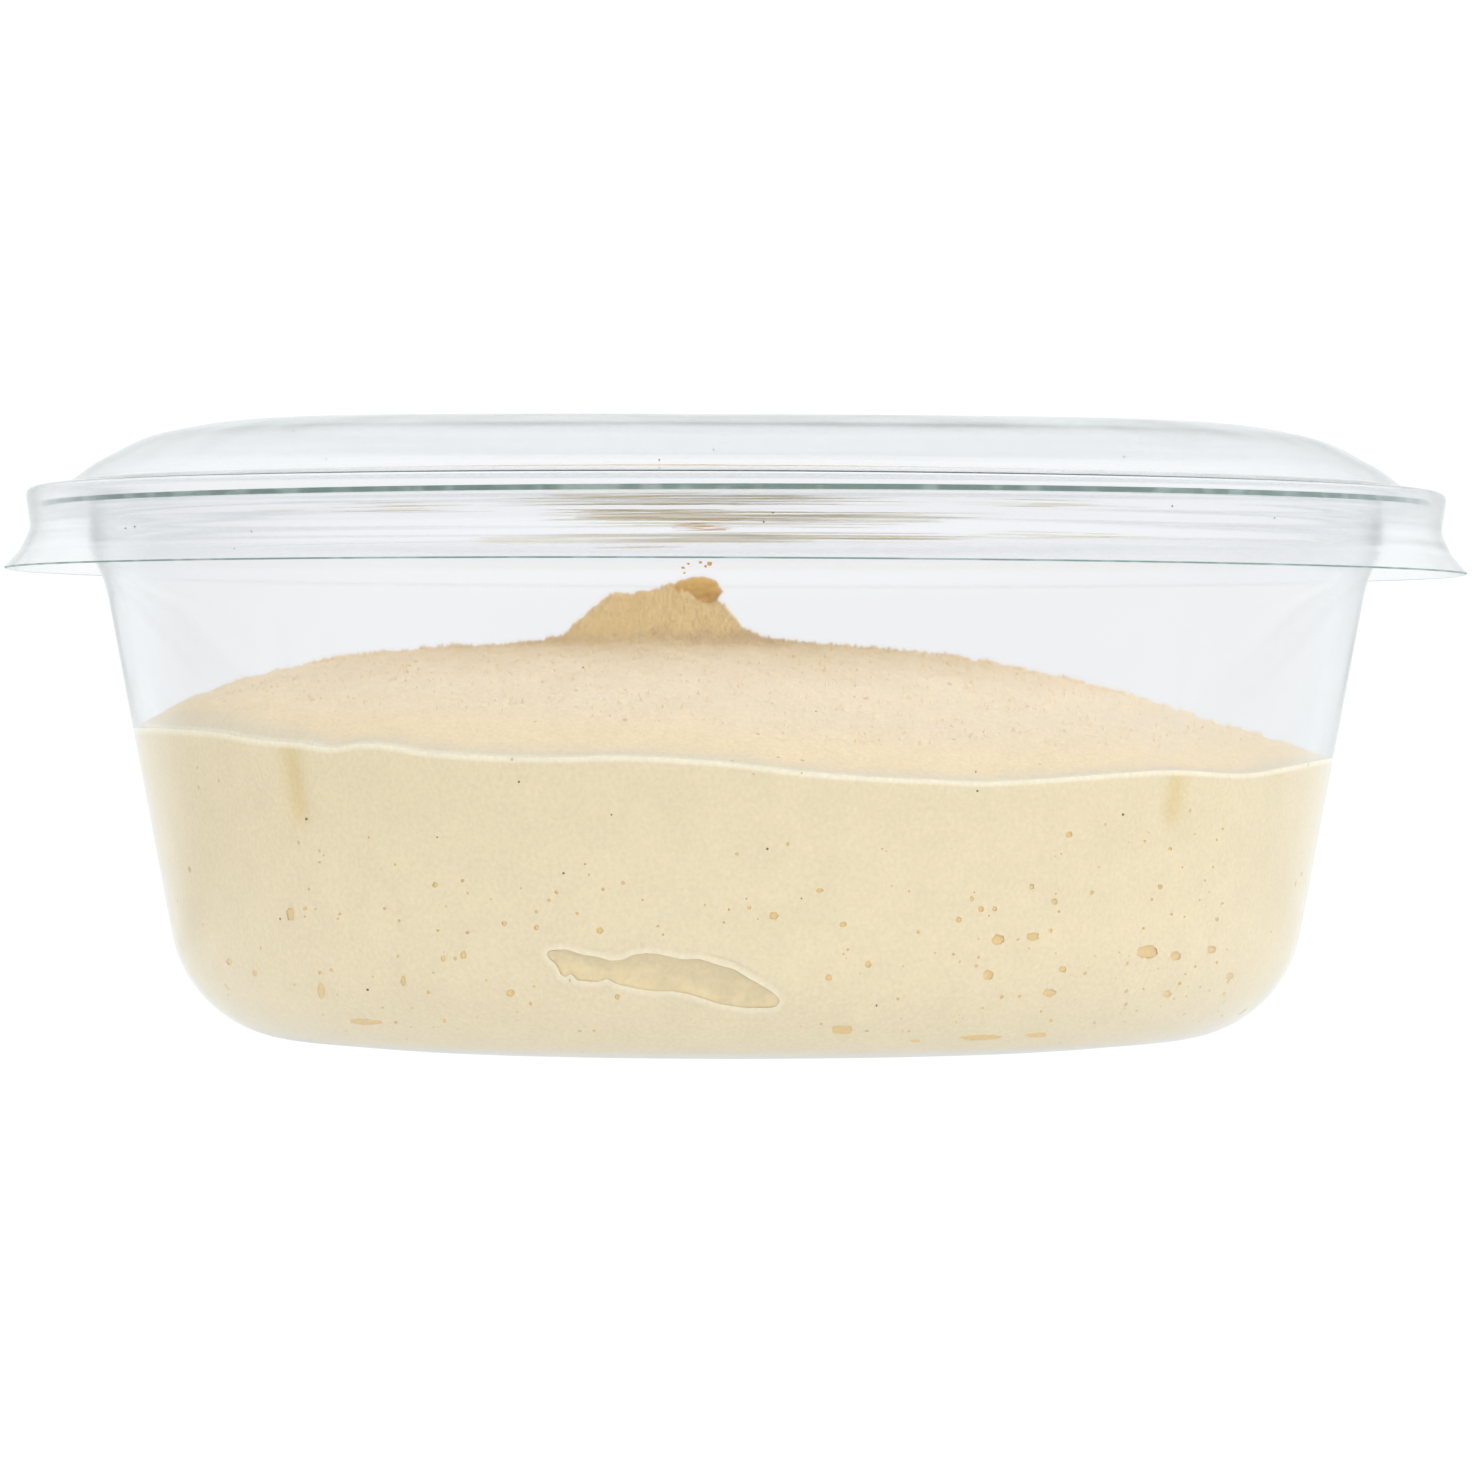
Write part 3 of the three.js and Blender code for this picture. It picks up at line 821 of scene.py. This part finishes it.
for body in (cutter, bubbles):
    cut_away(paste, body)
    print("faces", len(paste.data.polygons))
paste.data.set_sharp_from_angle(angle=CREASE)
print("triangles", sum(len(p.vertices) - 2 for p in paste.data.polygons), "finishes",
      np.unique([p.material_index for p in paste.data.polygons]))

# %% Pale rim of the pocket
# A painted highlight runs all round the pocket: a strip that follows the outline a hundredth of a
# millimetre proud of the paste, fading outwards.
RIM_WIDTH = 0.5
RIM_STEPS = 260
RIM_LINES = ((-0.1, 0.6), (0.35, 0.4), (1.0, 0.0))  # share of the width, and paleness
RIM_PROUD = 0.015


def rim_strip(outline):
    """A closed strip along an outline of [x, height] points: its inner edge just inside, a
    middle line and an outer edge, each moved out along the outline's normal."""
    closed = np.concatenate([outline, outline[:1]])
    lengths = run_lengths(closed)
    marks = np.linspace(0, lengths[-1], RIM_STEPS, endpoint=False)
    line = np.stack([np.interp(marks, lengths, way) for way in closed.T], 1)
    along = np.roll(line, -2, 0) - np.roll(line, 2, 0)
    along /= np.linalg.norm(along, axis=1, keepdims=True)
    out = np.stack([-along[:, 1], along[:, 0]], 1)
    flat = np.stack([line + out * RIM_WIDTH * share for share, _ in RIM_LINES])
    return on_front_wall(flat[..., 0], flat[..., 1], -RIM_PROUD)


strip = rim_strip(np.concatenate([POCKET_UPPER, POCKET_LOWER[::-1]]))
rim = mesh_object("pocket_rim_highlight", strip, closed_grid_faces(len(RIM_LINES), RIM_STEPS))
set_attribute(rim, "lip", np.repeat([pale for _, pale in RIM_LINES], RIM_STEPS))
print("rim strip faces", len(rim.data.polygons))

# %% [markdown]
# ## The knob and the crumbs
# The nozzle's last drop folded over and sits as a flattened knob on the peak, with a crease under
# it, so it is a lump of its own. Where the paste is open to the air its surface is crumbly, and
# along its outline the crumbs stand up as a fuzz. They are grains a few tenths of a millimetre
# wide, closest on the peak, each a small pyramid whose widest ring is sunk in the paste, so that
# none overhangs and shades what is under it.

# %% Knob
KNOB_CENTRE = (-3.25, -1.5, 37.2)
KNOB_HALF = (1.95, 1.6, 1.2)
KNOB_GRID = (44, 72)
KNOB_BOXINESS = 0.85  # 1 is an ellipsoid
KNOB_LUMPS = ((1.0, 0.1), (0.45, 0.1), (0.22, 0.07))  # size and height


def lump(centre, half, grid, seed):
    """An ellipsoid from pole to pole, made boxier by a power below 1 and its radius uneven by
    three sizes of noise."""
    turn = np.linspace(0, np.pi, grid[0] + 2)[1:-1, None]
    around = np.linspace(0, 2 * np.pi, grid[1], endpoint=False)
    level = np.sin(turn)
    ball = np.stack([level * np.cos(around), level * np.sin(around), -np.cos(turn) + 0 * around], 2)
    places = np.sign(ball) * np.abs(ball) ** KNOB_BOXINESS * half
    uneven = sum(height * lattice_noise(places, size, seed) for size, height in KNOB_LUMPS)
    return centre + places * (1 + uneven[..., None])


knob = turned_solid("hummus_knob", lump(KNOB_CENTRE, KNOB_HALF, KNOB_GRID, 61))
set_attribute(knob, "free", np.ones(len(knob.data.vertices)))
print("knob top mm", round(max(v.co.z for v in knob.data.vertices) / MM, 2))

# %% Crumbs
CRUMBS = 20000
CRUMB_RADII = (0.1, 0.42)
CRUMB_UPRIGHT = 1.4  # how much taller than wide they stand
CRUMB_SUNK = 0.08  # depth of a grain's middle, of its radius
CRUMB_REACH = 0.88  # share of the way to the wall
PEAK_CROWD = 4.5  # spread of the crumbs on the peak
RIDGE_HALF, RIDGE_SPREAD = 34.0, 3.5
BARE_KNOB = 1.15  # of the knob's half width
OFF_KNOB = 6.0  # how far a crumb that would lie there is moved
OCTAHEDRON = np.array([
    (1, 0, -0.6), (0, 1, -0.6), (-1, 0, -0.6), (0, -1, -0.6), (0, 0, 1), (0, 0, -1)])
OCTAHEDRON_SIDES = np.array([
    (0, 1, 4), (1, 2, 4), (2, 3, 4), (3, 0, 4), (1, 0, 5), (2, 1, 5), (3, 2, 5), (0, 3, 5)])


def grains(places, radii):
    """One uneven grain at each place, with its own radii along x, y and z: an octahedron whose
    widest ring lies below its middle."""
    lumpy = rng.uniform(0.7, 1.3, (len(places), len(OCTAHEDRON), 1))
    points = places[:, None] + OCTAHEDRON * np.reshape(radii, (-1, 1, 3)) * lumpy
    faces = OCTAHEDRON_SIDES + np.arange(len(places))[:, None, None] * len(OCTAHEDRON)
    return points.reshape(-1, 3), (), faces.reshape(-1, 3)


def on_mound(x, y):
    """Places on the open paste, over points of the plan."""
    wall = touch_radius(edge_height(np.degrees(np.arctan2(x, -y))))
    places = np.stack([x, y, mound_height(x, y, wall) + peak_height(x, y)], 1)
    places[:, 2] += grain_height(places)
    return places


def scattered(count):
    """Seeded places over the plan: half of them crowd on the peak by a normal draw, a quarter on
    the ridge either side of it, and the rest lie anywhere but next to the wall. The knob stays
    bare."""
    crowd, ridge = count // 2, count // 4
    share = CRUMB_REACH * np.sqrt(rng.uniform(0, 1, count - crowd - ridge))
    angle = rng.uniform(-np.pi, np.pi, count - crowd - ridge)
    reach = touch_radius(edge_height(np.degrees(angle))) * share
    x = np.concatenate([reach * np.sin(angle), PEAK_PLACE[0] + rng.normal(0, PEAK_CROWD, crowd),
                        RIDGE_HALF * rng.uniform(-1, 1, ridge)])
    y = np.concatenate([-reach * np.cos(angle), PEAK_PLACE[1] + rng.normal(0, PEAK_CROWD, crowd),
                        rng.normal(0, RIDGE_SPREAD, ridge)])
    on_knob = np.hypot(x - KNOB_CENTRE[0], y - KNOB_CENTRE[1]) < BARE_KNOB * KNOB_HALF[0]
    return np.where(on_knob, x - OFF_KNOB, x), y


crumb_places = on_mound(*scattered(CRUMBS))
coarse = 0.6 + 0.4 * dryness(crumb_places)[1][:, None]  # finer away from the peak
size = CRUMB_RADII[0] + (CRUMB_RADII[1] - CRUMB_RADII[0]) * rng.uniform(0, 1, (CRUMBS, 1)) ** 2.5 * coarse
crumb_places[:, 2] -= CRUMB_SUNK * size[:, 0]
crumbs = mesh_object("hummus_crumbs", *grains(crumb_places, size * np.array([1, 1, CRUMB_UPRIGHT])))
crumbs.data.shade_flat()
tan_share, peak_share = dryness(np.repeat(crumb_places, len(OCTAHEDRON), axis=0))
set_attribute(crumbs, "tan", tan_share)
set_attribute(crumbs, "peak", peak_share)
set_attribute(crumbs, "free", np.ones(len(tan_share)))
print("crumbs", CRUMBS, "faces", len(crumbs.data.polygons))

# %% Painted streaks under the rim
# Level streaks on the inside of the collar, most of them left of the middle, are a painted image of
# the paste refracted in the ridged collar, the amber ones of the peak: x, height, length and
# thickness of each band, how many streaks it has, and how amber they are. A few drops lie under them.
REFRACTED_STREAK_BANDS = (
    (-8.0, 43.85, 14.0, 0.1, 8, 0.7), (-2.0, 43.3, 36.0, 0.8, 50, 0.1), (-6.5, 42.2, 18.0, 0.8, 44, 0.3),
    (-2.0, 41.75, 6.0, 0.15, 12, 1.0), (-2.6, 41.2, 5.0, 0.6, 34, 0.9), (4.0, 42.2, 34.0, 0.8, 34, 0.1),
    (-1.0, 40.4, 40.0, 0.7, 56, 0.2), (-6.5, 39.70, 9.0, 0.14, 9, 0.9), (24.0, 43.2, 18.0, 0.7, 14, 0.0),
    (-28.0, 42.9, 20.0, 0.9, 16, 0.0), (26.0, 40.7, 20.0, 0.9, 16, 0.0), (0.0, 41.5, 34.0, 0.8, 30, 0.1),
)
AMBER_DROPS = ((-4.0, 38.2, 0.3, 0.16), (-3.6, 38.5, 0.22, 0.16), (-2.7, 38.6, 0.25, 0.2),
           (-2.0, 38.5, 0.4, 0.3), (-2.3, 38.3, 0.2, 0.2), (-3.9, 37.8, 0.2, 0.14))
STREAK_HEIGHTS = (0.01, 0.04)
inside = tub_inner[: np.argmax(tub_inner[:, 1] > FLANGE_HEIGHT - 0.1)]


def streaks(bands):
    """Rows of [x, z, length, thickness, amber]: seeded streaks spread through each band."""
    rows = []
    for x, z, length, thick, count, amber in bands:
        long = length * rng.uniform(0.1, 0.6, count)
        rows.append(np.stack([x + (length - long) * rng.uniform(-0.5, 0.5, count),
                              z + thick * rng.uniform(-0.5, 0.5, count), long,
                              rng.uniform(*STREAK_HEIGHTS, count), np.full(count, amber)], 1))
    return np.concatenate(rows)


streak_rows = np.concatenate([streaks(REFRACTED_STREAK_BANDS), [row + (1.0,) for row in AMBER_DROPS]])
refraction_streaks = mesh_object("painted_refraction_streaks", *flat_drops(streak_rows[:, :4], (0.2, 0.01), radius_on(inside)))
set_attribute(refraction_streaks, "peak", np.repeat(streak_rows[:, 4], len(refraction_streaks.data.vertices) // len(streak_rows)))
print("refraction_streaks", len(streak_rows), "faces", len(refraction_streaks.data.polygons))

# %% Dark specks
# Flecks of husk and spice: x, height, width and height on the wall; x and y on the open paste.
WALL_FLECKS = np.array([
    (-16.6, 21.9, 0.13, 0.13), (-13.2, 14.9, 0.13, 0.13), (2.4, 16.8, 0.16, 0.14), (10.8, 4.7, 0.12, 0.12),
    (-33.5, 18.9, 0.14, 0.14), (-35.8, 11.0, 0.12, 0.12), (-28.7, 5.6, 0.16, 0.14), (18.5, 21.2, 0.14, 0.12),
    (-23.0, 17.6, 0.10, 0.10), (5.0, 13.0, 0.10, 0.10), (30.0, 19.3, 0.16, 0.16), (-9.5, 19.4, 0.10, 0.10),
])
MOUND_FLECKS = np.array([(6.2, -37.8), (18.4, -43.6), (-12.0, -30.0), (-25.5, -4.0)])
FLECK_RADII = np.array([(0.08, 0.08, 0.07), (0.09, 0.09, 0.08), (0.08, 0.08, 0.07), (0.09, 0.09, 0.6)])
FLECK_RAISED = (0, 0, 0.15)
BLURRED = 1.25  # the sheet blurs a fleck on the wall, so it is drawn larger
WALL_FLECKS[:, 2:] *= BLURRED
on_top = grains(on_mound(*MOUND_FLECKS.T) + FLECK_RAISED, FLECK_RADII)
flecks = mesh_object("dark_flecks", *joined([flat_drops(WALL_FLECKS, (0.3, 0.03)), on_top]))
print("flecks", len(WALL_FLECKS) + len(MOUND_FLECKS))

# %% Dust on the lid
LID_DUST = np.array([
    (-47.7, 41.4, 0.13, 0.13), (-46.9, 41.5, 0.16, 0.12), (-37.1, 40.9, 0.12, 0.12), (-38.4, 39.6, 0.1, 0.1),
    (2.8, 42.2, 0.14, 0.12), (2.1, 41.5, 0.16, 0.12), (33.3, 43.1, 0.12, 0.18), (41.6, 42.4, 0.12, 0.12),
    (-34.5, 49.3, 0.1, 0.14), (-31.5, 46.6, 0.1, 0.1), (-5.8, 46.3, 0.14, 0.14), (-1.7, 47.3, 0.12, 0.1),
    (29.8, 47.1, 0.12, 0.14),
])
points, quads, triangles = flat_drops(LID_DUST, (0.3, 0.02), radius_on(lid_outer[::-1]))
dust = mesh_object("lid_dust", seat_lid(points[None])[0], quads, triangles)
print("dust", len(LID_DUST))

# %% [markdown]
# ## Hummus
# Chickpea paste with sesame is a pale, slightly translucent beige, matt where it is open to the
# air. It dries and darkens where it stands highest, so the peak goes to amber and its knob to
# light brown. Fine husk gives it specks of warmer tone, about a quarter of a millimetre across.

# %% Hummus material
MOTTLING = ((3.0, (0.985, 1.015)), (0.35, (0.955, 1.035)))  # patch size, and brightness
POCKET_FALL = 0.18  # rise of the long pocket's middle line, towards -X
POCKET_LEVELS = (4.6, 6.8)  # between its lower and its upper side, on that line's scale
MIDDLING = {"From_Min": 0.3, "From_Max": 0.7}  # where most of a noise's values lie


def paste_material(material, husk, wall, above=None, **layers):
    """Fills in a material: husk specks and two sizes of mottling over the wall's colour, which
    gives way to the colour of each layer in turn by the attribute of its name. above is a painted
    shade: the darker tone of the upper side of the long pocket, which falls towards +X."""
    add = partial(add_node, material.node_tree)
    place = add("TexCoord").outputs["Object"]
    colour = linear(wall)
    for attribute, tone in layers.items():
        share = add("Attribute", {"attribute_name": attribute}).outputs["Fac"]
        colour = add("Mix", COLOUR, _0=share, _6=colour, _7=linear(tone))
    if above:
        level = add("VectorMath", {"operation": "DOT_PRODUCT"}, _0=place, _1=(POCKET_FALL, 0, 1))
        cloud = add("TexNoise", Vector=place, Scale=1 / (1.6 * MM), Detail=1.5)
        cloud = add("MapRange", Value=cloud, To_Min=-0.9 * MM, To_Max=0.9 * MM, **MIDDLING)
        level = add("Math", {"operation": "ADD"}, _0=level, _1=cloud)
        share = stepped(add, 0.0, (level, POCKET_LEVELS[0] * MM, POCKET_LEVELS[1] * MM, 1.0))
        colour = add("Mix", COLOUR, _0=share, _6=colour, _7=linear(above))
    for size, (darkest, lightest) in MOTTLING:
        noise = add("TexNoise", Vector=place, Scale=1 / (size * MM), Detail=2.0)
        tone = add("MapRange", Value=noise, To_Min=darkest, To_Max=lightest, **MIDDLING)
        colour = add("Mix", COLOUR | {"blend_type": "MULTIPLY"}, _0=1.0, _6=colour, _7=tone)
    cells = add("TexVoronoi", Vector=place, Scale=1 / (1.7 * MM)).outputs
    rare = add("SeparateColor", Color=cells["Color"])
    reach = add("MapRange", Value=rare, From_Min=0.6, To_Max=0.13)
    speck = add("Math", {"operation": "LESS_THAN"}, _0=cells["Distance"], _1=reach)
    speck = add("Math", {"operation": "MULTIPLY"}, _0=speck, _1=0.7)
    colour = add("Mix", COLOUR, _0=speck, _6=colour, _7=linear(husk))
    fine = add("TexNoise", Vector=place, Scale=1 / (0.4 * MM), Detail=2.0)
    free = add("Attribute", {"attribute_name": "free"}).outputs["Fac"]
    grain = add("Math", {"operation": "MULTIPLY"}, _0=fine, _1=free)
    bump = add("Bump", Strength=0.7, Distance=0.25 * MM, Height=grain)
    shader = add("BsdfPrincipled", Base_Color=colour, Roughness=0.6, IOR=1.4, Specular_IOR_Level=0.15,
                 Normal=bump)
    add("OutputMaterial", Surface=shader)


lightened_crumb_skin, knob_skin = (new_material(name)[0] for name in ("lightened_paste_crumb", "dried_paste_knob"))
# By the beads the paste is painted darker, as shade; near the wall it is painted paler, as light, and along
# its edge on the wall it has a painted highlight. Tan and peak are its own dried tones.
paste_material(paste_skin, "#cfae7c", "#e7dbbe", rib="#e2d1a4", free="#eadabe", brim="#f5e1bb",
               tan="#c5a978", peak="#e0c68f", lip="#f6efda")
# The long pocket's upper side is painted darker, as shade.
paste_material(pocket_skin, "#dcc596", "#ecd8a8", above="#dccaa0")
paste_material(bubble_skin, "#d2b26a", "#e5c98c")
# The crumbs take lighter copies of the paste's tones: painted light that offsets the shade on their small
# facets.
paste_material(lightened_crumb_skin, "#e0c48f", "#f3e3c6", free="#f1dfbf", tan="#cfb385", peak="#e6cc96")
paste_material(knob_skin, "#c2984f", "#d0a556")

# The streaks' colour is painted: the paste's image refracted in the collar, amber for the peak's, deeper than
# the paste's own tone.
streak_film, add = new_material("painted_refraction_streak")
amber = add("Attribute", {"attribute_name": "peak"}).outputs["Fac"]
tone = add("Mix", COLOUR, _0=amber, _6=linear("#f3e3a2"), _7=linear("#e8b35a"))
shader = add("BsdfPrincipled", Base_Color=tone, Roughness=0.5, IOR=1.4)
add("OutputMaterial", Surface=shader)

# Dried husk and lint: dark, matt, with a hint of green.
dark_fleck, add = new_material("dried_husk_fleck")
place = add("TexCoord").outputs["Object"]
shade = add("TexNoise", Vector=place, Scale=1 / (0.1 * MM))
tone = add("Mix", COLOUR, _0=shade, _6=linear("#4a4536"), _7=linear("#77705a"))
shader = add("BsdfPrincipled", Base_Color=tone, Roughness=0.8)
add("OutputMaterial", Surface=shader)

dressing = ((crumbs, lightened_crumb_skin, "hummus"), (rim, paste_skin, "hummus"), (knob, knob_skin, "hummus"),
            (refraction_streaks, streak_film, "hummus"), (flecks, dark_fleck, "hummus"), (dust, dark_fleck, "clear_lid"))
for piece, skin, slot in dressing:
    piece.data.materials.append(skin)
    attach(piece, "root")
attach(paste, "root")
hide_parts("hummus")

# %% [markdown]
# ## Room and light
# The picture is high-key: a white sweep behind and below, so bright that it clips, and broad soft
# light from above and both sides. Clear plastic is drawn by what it mirrors, and that is darker:
# grey flags stand beside and in front of it. Flags and lamps would need objects of their own, each
# in someone's way, so one world holds three rooms instead. Which one a ray meets follows from what
# it has done: nothing (the white sweep), been mirrored (the flags), or left the paste (the light).
# The floor is a light table that follows the same rule, so it stays white under the tub.

# %% Which room a ray meets
SWEEP = 1.04  # just past white, straight to the camera
SWEEP_THROUGH = 0.97  # and through the sheet, which takes a little of it
FLAG_LEFT, FLAG_RIGHT = 0.58, 0.80  # the flags mirrored at the sides
FLAG_FRONT = 0.60  # and round the camera
FLAG_TINT = "#f5fafb"  # their grey leans to blue-green
SWEEP_EDGE = (0.30, 0.80)  # how far round the back the white sweep reaches
MIRRORED_ABOVE = 1.10


def room_light(add, way, lit, close=0.0):
    """Colour and brightness for a ray that goes a way: lit after it has left the paste, the flags
    after it has glanced off the sheet, and otherwise the white sweep. close is the share by which
    the ray ends so near the tub that it meets the sweep before any flag."""
    path = add("LightPath").outputs
    glanced = add("Math", {"operation": "GREATER_THAN"}, _0=path["Glossy Depth"], _1=0.5)
    from_paste = add("Math", {"operation": "GREATER_THAN"}, _0=path["Diffuse Depth"], _1=0.5)
    flag = stepped(add, FLAG_LEFT, (way["X"], -0.6, 0.6, FLAG_RIGHT), (way["Y"], -0.2, -0.8, FLAG_FRONT),
                   (way["Y"], *SWEEP_EDGE, SWEEP), (way["Z"], 0.45, 0.8, MIRRORED_ABOVE))
    flag = add("Mix", _0=close, _2=flag, _3=SWEEP)
    sweep = add("Mix", _0=path["Is Camera Ray"], _2=SWEEP_THROUGH, _3=SWEEP)
    seen = add("Mix", _0=glanced, _2=sweep, _3=flag)
    tint = add("Mix", COLOUR, _0=glanced, _6=(1, 1, 1, 1), _7=linear(FLAG_TINT))
    return tint, add("Mix", _0=from_paste, _2=seen, _3=lit)


# %% Floor
FLOOR_LIT = 1.75
FLOOR_HALF = 3000.0
FLOOR_Z = -0.05
UNDER_TUB = (36.0, 46.0)  # distances over which it comes out from the tub's shade
CLOSE_TO_TUB = (70.0, 120.0)  # distances over which the floor stops mirroring plain white
CLOSE_SHARE = 0.85
corners = np.array([(-1, -1, 0), (1, -1, 0), (1, 1, 0), (-1, 1, 0)]) * FLOOR_HALF + (0, 0, FLOOR_Z)
floor = mesh_object("floor", corners, [(0, 1, 2, 3)])
floor_finish, add = new_material("white_light_table")
place = add("TexCoord").outputs["Object"]
outward = add("VectorMath", {"operation": "NORMALIZE"}, _0=place)
outward = add("SeparateXYZ", Vector=outward).outputs
distance = add("VectorMath", {"operation": "LENGTH"}, _0=place)
close = stepped(add, CLOSE_SHARE, (distance, CLOSE_TO_TUB[0] * MM, CLOSE_TO_TUB[1] * MM, 0.0))
clear_of_base = stepped(add, 0.5, (distance, UNDER_TUB[0] * MM, UNDER_TUB[1] * MM, 1.0))
close = add("Math", {"operation": "MULTIPLY"}, _0=close, _1=clear_of_base)
tint, strength = room_light(add, outward, FLOOR_LIT, close)
glow = add("Emission", Color=tint, Strength=strength)
add("OutputMaterial", Surface=glow)
floor.data.materials.append(floor_finish)

# %% World
LIGHT_LEFT, LIGHT_RIGHT = 1.90, 2.95  # the light on the paste from -X and +X
LIGHT_ABOVE = 2.10

world = bpy.data.worlds.new("white_room")
bpy.context.scene.world = world
world.use_nodes = True
world.node_tree.nodes.clear()
add = partial(add_node, world.node_tree)
way = add("TexCoord").outputs["Generated"]
way = add("SeparateXYZ", Vector=way).outputs
lit = stepped(add, LIGHT_LEFT, (way["X"], -0.9, 0.9, LIGHT_RIGHT), (way["Z"], 0.3, 0.9, LIGHT_ABOVE))
tint, strength = room_light(add, way, lit)
sky = add("Background", Color=tint, Strength=strength)
add("OutputWorld", Surface=sky)
print("sweep", SWEEP, "light", LIGHT_LEFT, LIGHT_RIGHT, LIGHT_ABOVE)
print("flags", FLAG_LEFT, FLAG_RIGHT, FLAG_FRONT)
